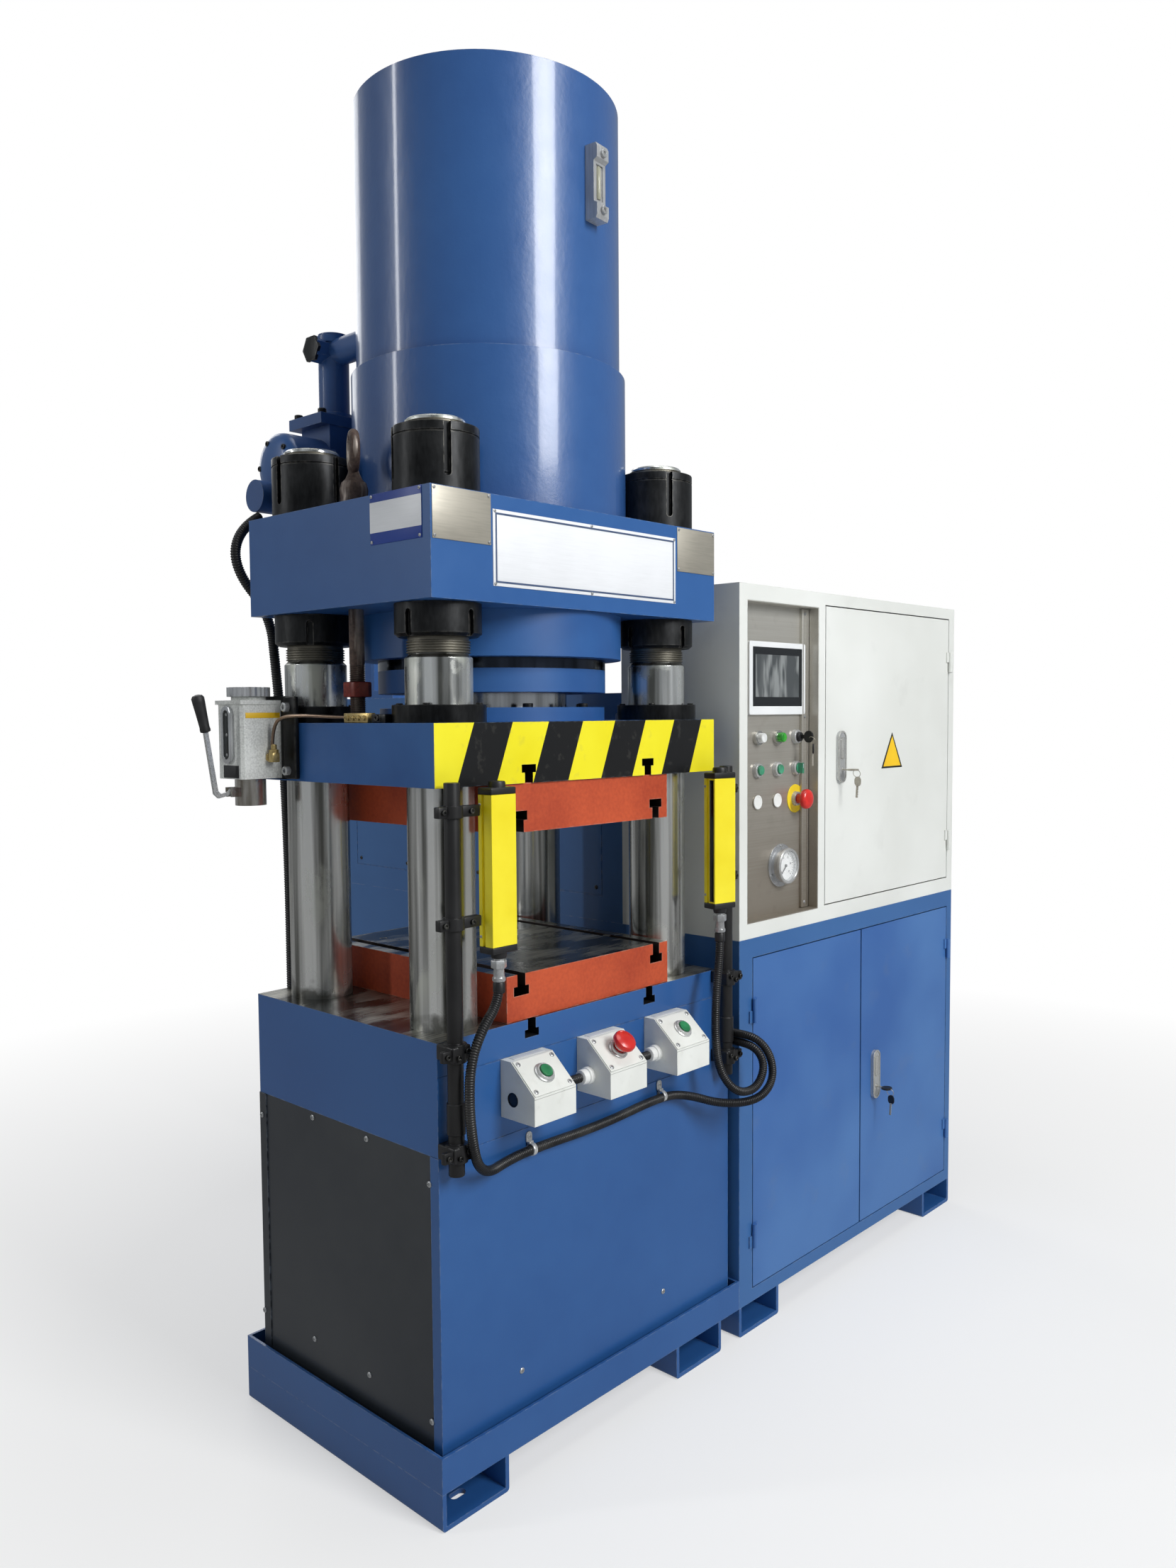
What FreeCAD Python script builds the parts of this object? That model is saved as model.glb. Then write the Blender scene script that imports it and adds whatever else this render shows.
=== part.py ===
"""Four-column hydraulic press with its switch cabinet and power unit.

Millimetres. +Z is up, the front faces -Y and the cabinet stands on the +X side of the press.
The origin lies on the floor, at the centre of the four anchor slots in the outer foot channels.
"""
import FreeCAD, Part
import math
import os
import re

import Sketcher
from FreeCAD import Placement, Rotation, Vector

os.makedirs("parts", exist_ok=True)
doc = FreeCAD.newDocument("hydraulic_press")

# ---------------------------------------------------------------------------------------------
# Driving dimensions
# ---------------------------------------------------------------------------------------------

DRIVING = {
    # floor plan
    "machine_length": 1690,
    "press_depth": 550,
    "unit_left": -70,
    "unit_rear": 1030,
    "foot_height": 60,
    "foot_width": 140,
    "foot_wall": 8,
    "foot_round": 12,
    "inner_foot_left": -271,
    "anchor_inset": 47,
    "anchor_width": 16,
    "anchor_length": 30,
    "tray_top": 118,
    "tray_sheet": 5,
    # press axis, bed and skirt
    "press_x": -478,
    "press_y": -11,
    "bed_length": 704,
    "bed_depth": 496,
    "bed_base": 579,
    "bed_top": 758,
    "bed_seam": 704,
    "slot_spacing": 300,
    "slot_neck": 18,
    "slot_head": 32,
    "slot_neck_depth": 17,
    "slot_head_depth": 13,
    "skirt_right": -88,
    "skirt_sheet": 3,
    "skirt_return": 20,
    "pedestal_wall": 20,
    # columns and their nuts
    "column_span_x": 540,
    "column_span_y": 336,
    "column_radius": 54,
    "thread_radius": 48,
    "column_foot": 698,
    "column_shoulder": 1345,
    "column_top": 1716,
    "nut_radius": 69,
    "top_nut_height": 103,
    "low_nut_height": 53,
    "nut_slot_width": 11,
    "nut_slot_depth": 8,
    # crown, main cylinder and oil tank
    "crown_length": 698,
    "crown_depth": 494,
    "crown_base": 1431,
    "crown_top": 1599,
    "barrel_radius": 200,
    "barrel_top": 1850,
    "flange_radius": 237,
    "flange_base": 1353,
    "gland_radius": 208,
    "gland_base": 1294,
    "tank_radius": 237,
    "tank_foot_radius": 247,
    "tank_step": 1855,
    "tank_top": 2319,
    # slide, ram and red plates
    "slide_length": 696,
    "slide_depth": 494,
    "slide_base": 1145,
    "slide_top": 1244,
    "guide_radius": 75,
    "guide_height": 28,
    "running_gap": 0.08,
    "ram_radius": 136,
    "ram_top": 1800,
    "ram_flange_radius": 206,
    "ram_flange_height": 24,
    "plate_length": 410,
    "plate_depth": 486,
    "plate_shift": 4,
    "bolster_height": 76,
    "upper_plate_height": 80,
    "plate_slot_spacing": 344,
    "plate_slot_head": 34,
    "plate_slot_neck_depth": 20,
    "plate_slot_head_depth": 15,
    # stop rod
    "rod_offset": -304,
    "rod_radius": 10,
    "rod_foot": 1254,
    # light curtains
    "curtain_width": 51,
    "curtain_depth": 30,
    "curtain_base": 900,
    "curtain_height": 234,
    "curtain_cap": 11,
    "left_curtain_x": -733.5,
    "left_curtain_y": -295,
    "right_curtain_x": -172.7,
    "right_curtain_y": -303.6,
    "right_curtain_turn": -12,
    "pole_radius": 12.5,
    "pole_base": 556,
    "pole_top": 1155,
    "left_pole_x": -814,
    "right_pole_x": -125,
    "pole_y": -283,
    # control boxes on the bed
    "box_width": 94,
    "box_pitch": 178,
    "box_shift": 4,
    "box_base": 612,
    "box_top": 705,
    "box_nose": 658,
    "box_shelf": 24,
    "box_reach": 77,
    # cabinet
    "cabinet_sheet": 3,
    "cabinet_seam": 806,
    "cabinet_top": 1509,
    "cabinet_back": 30,
    "enclosure_top": 1300,
    "panel_left": -43,
    "panel_right": 217,
    "panel_base": 836,
    "panel_top": 1477,
    "panel_recess": 29,
    "door_left": 243,
    "door_right": 818,
    "door_base": 839,
    "door_top": 1484,
    "door_depth": 18,
    "door_gap": 2.5,
    "low_door_left": -25,
    "low_door_right": 821,
    "low_door_base": 87,
    "low_door_top": 767,
    "hinge_radius": 5,
    "device_left": 30,
    "device_middle": 101,
    "device_right": 171,
    "lamp_row": 1205,
    "button_row": 1139,
    "stop_row": 1074,
    "gauge_x": 115,
    "gauge_z": 937,
    "touch_x": 97,
    "touch_z": 1326,
    # hoses
    "conduit_radius": 8,
    "rear_hose_radius": 9,
}

dims = doc.addObject("Spreadsheet::Sheet", "dims")
for row, (word, size) in enumerate(DRIVING.items(), start=1):
    dims.set(f"A{row}", word)
    dims.set(f"B{row}", str(size))
    dims.setAlias(f"B{row}", word)
doc.recompute()

# words that several sections share
FRONT = "-press_depth / 2"
REAR = "press_depth / 2"
LEFT = "-machine_length / 2"
RIGHT = "machine_length / 2"
BED_FRONT = "press_y - bed_depth / 2"
WORD = re.compile(r"\b[a-z][a-z_]+\b")


def formula(text):
    """An expression in the sheet's words, such as bed_top - slot_neck_depth."""
    return WORD.sub(lambda found: "dims." + found[0] if found[0] in DRIVING else found[0], str(text))


def value(text):
    """The number that an expression stands for now."""
    return float(dims.evalExpression(formula(text)))


# ---------------------------------------------------------------------------------------------
# Ways of making a solid
# ---------------------------------------------------------------------------------------------

ALONG = {"X": Rotation(Vector(0, 1, 0), 90), "Y": Rotation(Vector(1, 0, 0), -90), "Z": Rotation()}


def bind(thing, sizes):
    for name, text in sizes.items():
        thing.setExpression(name, formula(text))
    return thing


def seat(thing, x, y, z, turn=None):
    """Turn a thing about its own origin, then put that origin at x, y, z."""
    if turn:
        thing.Placement = Placement(Vector(), turn)
    return bind(thing, {"Placement.Base.x": x, "Placement.Base.y": y, "Placement.Base.z": z})


def box(name, x, y, z, length, width, height):
    """A block from its lowest corner."""
    block = doc.addObject("Part::Box", name)
    bind(block, {"Length": length, "Width": width, "Height": height})
    return seat(block, x, y, z)


def span(name, x0, x1, y0, y1, z0, z1):
    """A block between two corners."""
    return box(name, x0, y0, z0, f"{x1} - ({x0})", f"{y1} - ({y0})", f"{z1} - ({z0})")


def rod(name, x, y, z, radius, length, axis="Z"):
    """A round bar that starts at x, y, z and runs along a positive axis."""
    bar = doc.addObject("Part::Cylinder", name)
    bind(bar, {"Radius": radius, "Height": length})
    return seat(bar, x, y, z, ALONG[axis])


def prism(name, x, y, z, radius, length, axis="Z", sides=6):
    """A bar with flat sides, such as a hexagon head."""
    bar = doc.addObject("Part::Prism", name)
    bar.Polygon = sides
    bind(bar, {"Circumradius": radius, "Height": length})
    return seat(bar, x, y, z, ALONG[axis])


def fuse(name, *pieces):
    joined = doc.addObject("Part::MultiFuse", name)
    joined.Shapes = list(pieces)
    joined.Refine = True
    return joined


def cut(name, base, *tools):
    result = doc.addObject("Part::Cut", name)
    result.Base = base
    result.Tool = tools[0] if len(tools) == 1 else fuse(name + "_tools", *tools)
    return result


def group(name, *pieces):
    """Separate solids that share one node."""
    together = doc.addObject("Part::Compound", name)
    together.Links = list(pieces)
    return together


def mirror(name, source, axis, at):
    """The mirror image of a thing across the plane axis = at."""
    image = doc.addObject("Part::Mirroring", name)
    image.Source = source
    image.Normal = Vector(1, 0, 0) if axis == "x" else Vector(0, 1, 0)
    return bind(image, {"Base." + axis: at})


def at_four_columns(name, one):
    """One thing at the front left column, repeated at the other three."""
    pair = group(name + "_front", one, mirror(name + "_right", one, "x", "press_x"))
    return group(name, pair, mirror(name + "_rear", pair, "y", "press_y"))


def new_body(name):
    body = doc.addObject("PartDesign::Body", name)
    return body


def new_sketch(body, name, role, offset="0"):
    """A sketch on one of the body's own origin planes, moved along its normal."""
    sketch = body.newObject("Sketcher::SketchObject", name)
    plane = next(item for item in body.Origin.OriginFeatures if item.Role == role)
    sketch.AttachmentSupport = [(plane, "")]
    sketch.MapMode = "FlatFace"
    sketch.setExpression("AttachmentOffset.Base.z", formula(offset))
    return sketch


def outline(sketch, corners):
    """A closed outline whose corners are dimensioned from the sketch's origin."""
    places = [Vector(value(across), value(up), 0) for across, up in corners]
    first = sketch.GeometryCount
    for number, place in enumerate(places):
        sketch.addGeometry(Part.LineSegment(place, places[(number + 1) % len(places)]))
    for number in range(len(places)):
        before = first + (number - 1) % len(places)
        sketch.addConstraint(Sketcher.Constraint("Coincident", before, 2, first + number, 1))
    for number, (across, up) in enumerate(corners):
        for kind, text in (("DistanceX", across), ("DistanceY", up)):
            made = sketch.addConstraint(Sketcher.Constraint(kind, first + number, 1, value(text)))
            sketch.setExpression(f"Constraints[{made}]", formula(text))


def turned(name, corners, x, y, z="0", turn=None):
    """A turned piece from its half section, given as radius and height."""
    body = new_body(name)
    sketch = new_sketch(body, name + "_section", "XZ_Plane")
    outline(sketch, corners)
    feature = body.newObject("PartDesign::Revolution", name + "_turned")
    feature.Profile = sketch
    feature.ReferenceAxis = (sketch, ["V_Axis"])
    feature.Angle = 360
    return seat(body, x, y, z, turn)


def padded(name, role, corners, length, offset="0", reverse=False):
    """A piece of constant section, extruded from one of the body's origin planes."""
    body = new_body(name)
    sketch = new_sketch(body, name + "_section", role, offset)
    outline(sketch, corners)
    feature = body.newObject("PartDesign::Pad", name + "_pad")
    feature.Profile = sketch
    feature.Reversed = reverse
    bind(feature, {"Length": length})
    return body


def fillet_edges(name, source, radius, wanted):
    """Round the edges of a thing that a test picks out."""
    doc.recompute()
    rounded = doc.addObject("Part::Fillet", name)
    rounded.Base = source
    picked = [number for number, edge in enumerate(source.Shape.Edges, start=1) if wanted(edge)]
    rounded.Edges = [(number, value(radius), value(radius)) for number in picked]
    return rounded


def tee_slot(name, centre_x, y, width, face_z, down, head, neck_depth, head_depth):
    """A T-slot tool that runs front to back and opens upward, or downward where down is set."""
    sign = "-" if down else "+"
    neck = f"slot_neck / 2"
    waist = f"{face_z} {'+' if down else '-'} {neck_depth}"
    floor = f"{waist} {'+' if down else '-'} {head_depth}"
    mouth = f"{face_z} {sign} 1"
    corners = [(f"-{neck}", mouth), (neck, mouth), (neck, waist), (f"{head} / 2", waist),
               (f"{head} / 2", floor), (f"-{head} / 2", floor), (f"-{head} / 2", waist),
               (f"-{neck}", waist)]
    return seat(padded(name, "XZ_Plane", corners, width, reverse=True), centre_x, y, "0")


def lead_path(points):
    """Straight runs joined by tangent arcs, each as large as its two runs allow."""
    radii = []
    edges = []
    start = points[0]
    for before, corner, after in zip(points, points[1:], points[2:]):
        into = (corner - before).normalize()
        away = (after - corner).normalize()
        turn = into.getAngle(away)
        reach = 0.45 * min(before.distanceToPoint(corner), corner.distanceToPoint(after))
        radii.append(reach / math.tan(turn / 2))
        begin = corner - into * reach
        end = corner + away * reach
        towards = (away - into).normalize()
        centre = corner + towards * (reach / math.sin(turn / 2))
        middle = centre - towards * radii[-1]
        edges.append(Part.LineSegment(start, begin).toShape())
        edges.append(Part.Arc(begin, middle, end).toShape())
        start = end
    edges.append(Part.LineSegment(start, points[-1]).toShape())
    return Part.Wire(edges), radii


def hose(name, points, outer, inner="0"):
    """A round hose along a route of points; its radii and volume are printed."""
    path, radii = lead_path(points)
    away = (points[1] - points[0]).normalize()
    rings = [Part.Wire(Part.makeCircle(value(radius), points[0], away)) for radius in (outer, inner) if value(radius)]
    solids = [path.makePipeShell([ring], True, False) for ring in rings]
    shape = solids[0] if len(solids) == 1 else solids[0].cut(solids[1])
    area = math.pi * (value(outer) ** 2 - value(inner) ** 2)
    print(f"{name}: length {path.Length:.0f}, volume over section {shape.Volume / area:.0f}, "
          f"least radius {min(radii):.0f}, radii {[round(radius) for radius in radii]}")
    feature = doc.addObject("Part::Feature", name)
    feature.Shape = shape
    return feature


# ---------------------------------------------------------------------------------------------
# Base: tray, foot channels, bed with its pedestal, skirt
# ---------------------------------------------------------------------------------------------

def base_tray():
    """Oil tray under the press; its front wall carries on as the band under the cabinet."""
    outer = span("tray_outer", LEFT, "unit_left", FRONT, REAR, "foot_height", "tray_top")
    inner = span("tray_inner", f"{LEFT} + tray_sheet", "unit_left - tray_sheet", f"{FRONT} + tray_sheet",
                 f"{REAR} - tray_sheet", "foot_height + tray_sheet", "tray_top + 1")
    return cut("base_tray", outer, inner)


def channel(name, left, rear, slots=()):
    """One foot: a channel laid on its web, open at both ends, with its anchor slots."""
    outer = span(name + "_outer", left, f"{left} + foot_width", FRONT, rear, "0", "foot_height")
    inner = span(name + "_inner", f"{left} + foot_wall", f"{left} + foot_width - foot_wall",
                 f"{FRONT} - 1", f"{rear} + 1", "foot_wall", "foot_height + 1")
    lowest = lambda edge: edge.BoundBox.YLength > 100 and edge.BoundBox.ZMax < 0.1
    blank = fillet_edges(name + "_rounded", cut(name + "_blank", outer, inner), "foot_round / 2", lowest)
    tools = []
    for number, y in enumerate(slots):
        half = "(anchor_length - anchor_width) / 2"
        middle = f"{left} + foot_width / 2"
        tag = f"{name}_slot_{number}"
        tools.append(span(tag, f"{middle} - {half}", f"{middle} + {half}", f"{y} - anchor_width / 2",
                          f"{y} + anchor_width / 2", "-1", "foot_wall + 1"))
        for side in "-+":
            tools.append(rod(f"{tag}_{'ab'[side == '+']}", f"{middle} {side} {half}", y, "-1",
                             "anchor_width / 2", "foot_wall + 2"))
    return cut(name, blank, *tools) if tools else blank


def foot_channels():
    front_slot = f"{FRONT} + anchor_inset"
    rear_slot = f"{REAR} - anchor_inset"
    return group("foot_channels",
                 channel("foot_outer_left", LEFT, REAR, (front_slot, rear_slot)),
                 channel("foot_inner_left", "inner_foot_left", REAR),
                 channel("foot_inner_right", "unit_left", "unit_rear"),
                 channel("foot_outer_right", f"{RIGHT} - foot_width", "unit_rear", (front_slot, rear_slot)))


def centred(name, length, depth, z0, z1):
    """A block centred on the press axis."""
    return box(name, f"press_x - ({length}) / 2", f"press_y - ({depth}) / 2", z0, length, depth, f"{z1} - ({z0})")


def column_bores(name, radius, z0, z1):
    bore = rod(name + "_one", "press_x - column_span_x / 2", "press_y - column_span_y / 2", z0, radius, f"{z1} - ({z0})")
    return at_four_columns(name, bore)


def bed():
    """Bed block with two T-slots on a hollow cross-shaped pedestal."""
    block = centred("bed_block", "bed_length", "bed_depth", "bed_base", "bed_top")
    long_leg = centred("leg_long", "bed_length - 8", "180", "foot_height + tray_sheet", "bed_base")
    wide_leg = centred("leg_wide", "380", "bed_depth - 8", "foot_height + tray_sheet", "bed_base")
    long_hollow = centred("hollow_long", "bed_length - 8 - 2 * pedestal_wall", "180 - 2 * pedestal_wall",
                          "foot_height", "bed_base - pedestal_wall")
    wide_hollow = centred("hollow_wide", "380 - 2 * pedestal_wall", "bed_depth - 8 - 2 * pedestal_wall",
                          "foot_height", "bed_base - pedestal_wall")
    slots = [tee_slot(f"bed_slot_{side}", f"press_x {side} slot_spacing / 2", f"{BED_FRONT} - 1", "bed_depth + 2",
                      "bed_top", False, "slot_head", "slot_neck_depth", "slot_head_depth") for side in "-+"]
    seam = span("bed_seam_groove", "press_x - bed_length / 2 - 1", "press_x + bed_length / 2 + 1",
                f"{BED_FRONT} - 1", f"{BED_FRONT} + 1", "bed_seam", "bed_seam + 1.5")
    bores = column_bores("bed_bores", "column_radius + 0.1", "column_foot - 1", "bed_top + 1")
    whole = fuse("bed_whole", block, long_leg, wide_leg)
    return cut("bed", whole, long_hollow, wide_hollow, bores, seam, *slots)


def skirt_wrap(name, face, inward):
    """Front or rear skirt sheet with a folded return on each end."""
    left = "press_x - bed_length / 2 - 1"
    lip = f"{face} {inward} skirt_return"
    skin = f"{face} {inward} skirt_sheet"
    corners = [(left, lip), (left, face), ("skirt_right", face), ("skirt_right", lip),
               ("skirt_right - skirt_sheet", lip), ("skirt_right - skirt_sheet", skin),
               (f"{left} + skirt_sheet", skin), (f"{left} + skirt_sheet", lip)]
    return padded(name, "XY_Plane", corners, "bed_base - foot_height - tray_sheet", "foot_height + tray_sheet")


def skirt_sides():
    """Side sheets between the returns; the right one folds over to the bed at its top."""
    y0 = f"{BED_FRONT} + skirt_return - 1"
    depth = "bed_depth + 2 - 2 * skirt_return"
    floor = "foot_height + tray_sheet"
    left = box("skirt_side_left", "press_x - bed_length / 2 + 1", y0, floor, "skirt_sheet", depth, f"bed_base - ({floor})")
    corners = [("skirt_right - 2", floor), ("skirt_right - 2", "bed_base"), ("press_x + bed_length / 2", "bed_base"),
               ("press_x + bed_length / 2", "bed_base - skirt_sheet"),
               ("skirt_right - 2 - skirt_sheet", "bed_base - skirt_sheet"), ("skirt_right - 2 - skirt_sheet", floor)]
    right = padded("skirt_side_right", "XZ_Plane", corners, depth, reverse=True)
    seat(right, "0", y0, "0")
    return left, right


# ---------------------------------------------------------------------------------------------
# Columns, nuts, crown, main cylinder, oil tank
# ---------------------------------------------------------------------------------------------

COLUMN_SECTION = [("0", "column_foot"), ("column_radius", "column_foot"), ("column_radius", "column_shoulder"),
                  ("thread_radius", "column_shoulder + 6"), ("thread_radius", "column_top - 3"),
                  ("thread_radius - 3", "column_top"), ("0", "column_top")]


def columns():
    """Four tie columns: sunk in the bed, polished up to the shoulder, threaded through the crown."""
    made = []
    for depth_name, y_sign in (("front", "-"), ("rear", "+")):
        for side_name, x_sign in (("left", "-"), ("right", "+")):
            made.append(turned(f"column_{depth_name}_{side_name}", COLUMN_SECTION,
                               f"press_x {x_sign} column_span_x / 2", f"press_y {y_sign} column_span_y / 2"))
    return made


def slotted_nut(name, base, height, slot_low, slot_high):
    """Round nut with four wrench slots round it."""
    body = new_body(name)
    sketch = new_sketch(body, name + "_section", "XZ_Plane")
    top = f"{base} + {height}"
    outline(sketch, [("thread_radius", base), ("nut_radius", base), ("nut_radius", top), ("thread_radius", top)])
    ring = body.newObject("PartDesign::Revolution", name + "_ring")
    ring.Profile = sketch
    ring.ReferenceAxis = (sketch, ["V_Axis"])
    ring.Angle = 360
    doc.recompute()
    mark = new_sketch(body, name + "_slot", "XZ_Plane", "nut_radius - nut_slot_depth")
    half = "nut_slot_width / 2"
    outline(mark, [(f"-{half}", slot_low), (half, slot_low), (half, slot_high), (f"-{half}", slot_high)])
    pocket = body.newObject("PartDesign::Pocket", name + "_slot_cut")
    pocket.Profile = mark
    pocket.Reversed = True
    bind(pocket, {"Length": "nut_slot_depth + 2"})
    doc.recompute()
    assert pocket.Shape.Volume < ring.Shape.Volume - 1, name
    pattern = body.newObject("PartDesign::PolarPattern", name + "_slots")
    pattern.Originals = [pocket]
    pattern.Axis = (next(item for item in body.Origin.OriginFeatures if item.Role == "Z_Axis"), [""])
    pattern.Angle = 360
    pattern.Occurrences = 4
    body.Tip = pattern
    turn = Rotation(Vector(0, 0, 1), 28)
    return seat(body, "press_x - column_span_x / 2", "press_y - column_span_y / 2", "0", turn)


def column_nuts():
    """Slotted nuts that clamp the crown from above and below."""
    upper = slotted_nut("upper_nut", "crown_top", "top_nut_height", "crown_top + 20", "crown_top + top_nut_height + 1")
    lower = slotted_nut("lower_nut", "crown_base - low_nut_height", "low_nut_height",
                        "crown_base - low_nut_height - 1", "crown_base - 12")
    return group("column_nuts", at_four_columns("upper_nuts", upper), at_four_columns("lower_nuts", lower))


def crown():
    """Top block, bored for the columns, the cylinder barrel and the stop rod."""
    block = centred("crown_block", "crown_length", "crown_depth", "crown_base", "crown_top")
    bores = column_bores("crown_bores", "thread_radius + 0.3", "crown_base - 1", "crown_top + 1")
    middle = rod("crown_middle", "press_x", "press_y", "crown_base - 1", "barrel_radius + 0.3",
                 "crown_top - crown_base + 2")
    small = rod("crown_small", "press_x + rod_offset", "press_y", "crown_base - 1", "rod_radius + 0.3",
                "crown_top - crown_base + 2")
    return cut("crown", block, bores, middle, small)


def main_cylinder():
    """Barrel through the crown, with its flange under the crown and the gland round the ram."""
    bore = "ram_radius + running_gap"
    section = [(bore, "gland_base"), ("gland_radius", "gland_base"), ("gland_radius", "flange_base"),
               ("flange_radius", "flange_base"),
               ("flange_radius", "crown_base"), ("barrel_radius", "crown_base"), ("barrel_radius", "barrel_top"),
               ("0", "barrel_top"), ("0", "barrel_top - 30"), (bore, "barrel_top - 30")]
    return turned("main_cylinder", section, "press_x", "press_y")


def oil_tank():
    """Closed tank with a wider foot ring, standing over the barrel."""
    section = [("barrel_radius + 0.5", "crown_top"), ("tank_foot_radius", "crown_top"), ("tank_foot_radius", "tank_step"),
               ("tank_radius", "tank_step"), ("tank_radius", "tank_top"), ("0", "tank_top"), ("0", "barrel_top + 0.5"),
               ("barrel_radius + 0.5", "barrel_top + 0.5")]
    return turned("oil_tank", section, "press_x", "press_y")


def level_gauge():
    """Oil level gauge: a capped body with a sunk window."""
    back = "-tank_radius"
    corners = [(back, "2082"), (f"{back} - 22", "2082"), (f"{back} - 25", "2088"), (f"{back} - 25", "2106"),
               (f"{back} - 18", "2110"), (f"{back} - 18", "2176"), (f"{back} - 25", "2180"), (f"{back} - 25", "2198"),
               (f"{back} - 22", "2204"), (back, "2204")]
    body = padded("gauge_body", "YZ_Plane", corners, "32", "-16")
    window = box("gauge_window", "-9", f"{back} - 19", "2114", "18", "4", "58")
    return seat(cut("level_gauge", body, window), "press_x", "press_y", "0", Rotation(Vector(0, 0, 1), 5))


def stop_rod():
    """Rod through the crown that stops the slide: ring, collar, shank and hexagon nut."""
    x, y = "press_x + rod_offset", "press_y"
    shank = rod("rod_shank", x, y, "rod_foot", "rod_radius", "crown_top - rod_foot + 20")
    collar = rod("rod_collar", x, y, "crown_top", "23", "41")
    neck = box("rod_neck", f"{x} - 7", f"{y} - 8", "crown_top + 40", "14", "16", "14")
    section = [(f"25 + {9 * math.cos(math.radians(angle)):.2f}", f"{9 * math.sin(math.radians(angle)):.2f}")
               for angle in range(0, 360, 90)]
    ring = turned("rod_ring", section, x, y, "crown_top + 82", Rotation(Vector(0, 1, 0), 90))
    nut = prism("rod_nut", x, y, "1287", "22", "24")
    return fuse("stop_rod", shank, collar, neck, ring, nut)


# ---------------------------------------------------------------------------------------------
# Slide, guide bushes, ram and the two plates
# ---------------------------------------------------------------------------------------------

def slide():
    """Moving block that runs on the columns, with two T-slots underneath."""
    block = centred("slide_block", "slide_length", "slide_depth", "slide_base", "slide_top")
    bores = column_bores("slide_bores", "column_radius + running_gap", "slide_base - 1", "slide_top + 1")
    slots = [tee_slot(f"slide_slot_{side}", f"press_x {side} slot_spacing / 2", "press_y - slide_depth / 2 - 1",
                      "slide_depth + 2", "slide_base", True, "slot_head", "slot_neck_depth", "slot_head_depth")
             for side in "-+"]
    return cut("slide", block, bores, *slots)


def guide_bushes():
    """Guide rings on the slide that run on the columns."""
    bore = "column_radius + running_gap"
    section = [(bore, "slide_top"), ("guide_radius", "slide_top"), ("guide_radius", "slide_top + guide_height"),
               (bore, "slide_top + guide_height")]
    one = turned("guide_bush", section, "press_x - column_span_x / 2", "press_y - column_span_y / 2")
    return at_four_columns("guide_bushes", one)


def ram():
    """Plunger with its bolted foot flange."""
    section = [("0", "slide_top"), ("ram_flange_radius", "slide_top"),
               ("ram_flange_radius", "slide_top + ram_flange_height"), ("ram_radius", "slide_top + ram_flange_height"),
               ("ram_radius", "ram_top"), ("0", "ram_top")]
    return turned("ram", section, "press_x", "press_y")


def red_plate(name, z0, z1, face, down):
    """Die plate between the columns, with a T-slot near each end."""
    middle = "press_x + plate_shift"
    front = "press_y - plate_depth / 2"
    block = span(name + "_block", f"{middle} - plate_length / 2", f"{middle} + plate_length / 2", front,
                 "press_y + plate_depth / 2", z0, z1)
    slots = [tee_slot(f"{name}_slot_{side}", f"{middle} {side} plate_slot_spacing / 2", f"{front} - 1",
                      "plate_depth + 2", face, down, "plate_slot_head", "plate_slot_neck_depth",
                      "plate_slot_head_depth") for side in "-+"]
    return cut(name, block, *slots)


# ---------------------------------------------------------------------------------------------
# Hand lubricator on the left end of the slide
# ---------------------------------------------------------------------------------------------

LUBE_X, LUBE_Y = "-873", "175"


def lubricator():
    """Cast oil pot with chamfered corners on its bracket; the pump barrel hangs under it."""
    corners = [(f"{LUBE_X} - 38", f"{LUBE_Y} - 33"), (f"{LUBE_X} - 33", f"{LUBE_Y} - 38"),
               (f"{LUBE_X} + 38", f"{LUBE_Y} - 38"), (f"{LUBE_X} + 38", f"{LUBE_Y} + 39"),
               (f"{LUBE_X} - 33", f"{LUBE_Y} + 39"), (f"{LUBE_X} - 38", f"{LUBE_Y} + 34")]
    pot = padded("lube_pot", "XY_Plane", corners, "126", "1150")
    lid = box("lube_lid", f"{LUBE_X} - 40", f"{LUBE_Y} - 40", "1276", "80", "81", "7")
    neck = rod("lube_neck", LUBE_X, LUBE_Y, "1283", "29", "6")
    barrel = rod("lube_barrel", LUBE_X, LUBE_Y, "1104", "26", "46")
    fork = [box(f"lube_fork_{side}", f"{LUBE_X} - 42", f"{LUBE_Y} {place}", "1120", "20", "5", "16")
            for side, place in (("front", "- 10.5"), ("rear", "+ 5.5"))]
    bracket = span("lube_bracket", "-835", "press_x - slide_length / 2", f"{LUBE_Y} - 52", f"{LUBE_Y} + 52", "1148", "1290")
    return fuse("lubricator", pot, lid, neck, barrel, bracket, *fork)


def lube_line():
    """Copper tube from the pot to the distributor strip on the slide."""
    x, y = value(LUBE_X), value(LUBE_Y)
    top = value("slide_top")
    route = [Vector(x + 15, y - 39, 1199), Vector(x + 16, y - 110, 1244), Vector(x + 58, y - 200, top + 9)]
    tube = hose("lube_tube", route, "2.5")
    strip = box("lube_strip", f"{LUBE_X} + 52", f"{LUBE_Y} - 264", "slide_top", "16", "64", "16")
    return group("lube_line", tube, strip)


def filler_cap():
    """Filler cap with a toothed rim."""
    teeth = 24
    corners = []
    for number in range(2 * teeth):
        angle = math.pi * number / teeth
        radius = 36 - 2 * (number % 2)
        corners.append((f"{radius * math.cos(angle):.3f}", f"{radius * math.sin(angle):.3f}"))
    return seat(padded("filler_cap", "XY_Plane", corners, "16"), LUBE_X, LUBE_Y, "1289.3")


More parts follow.
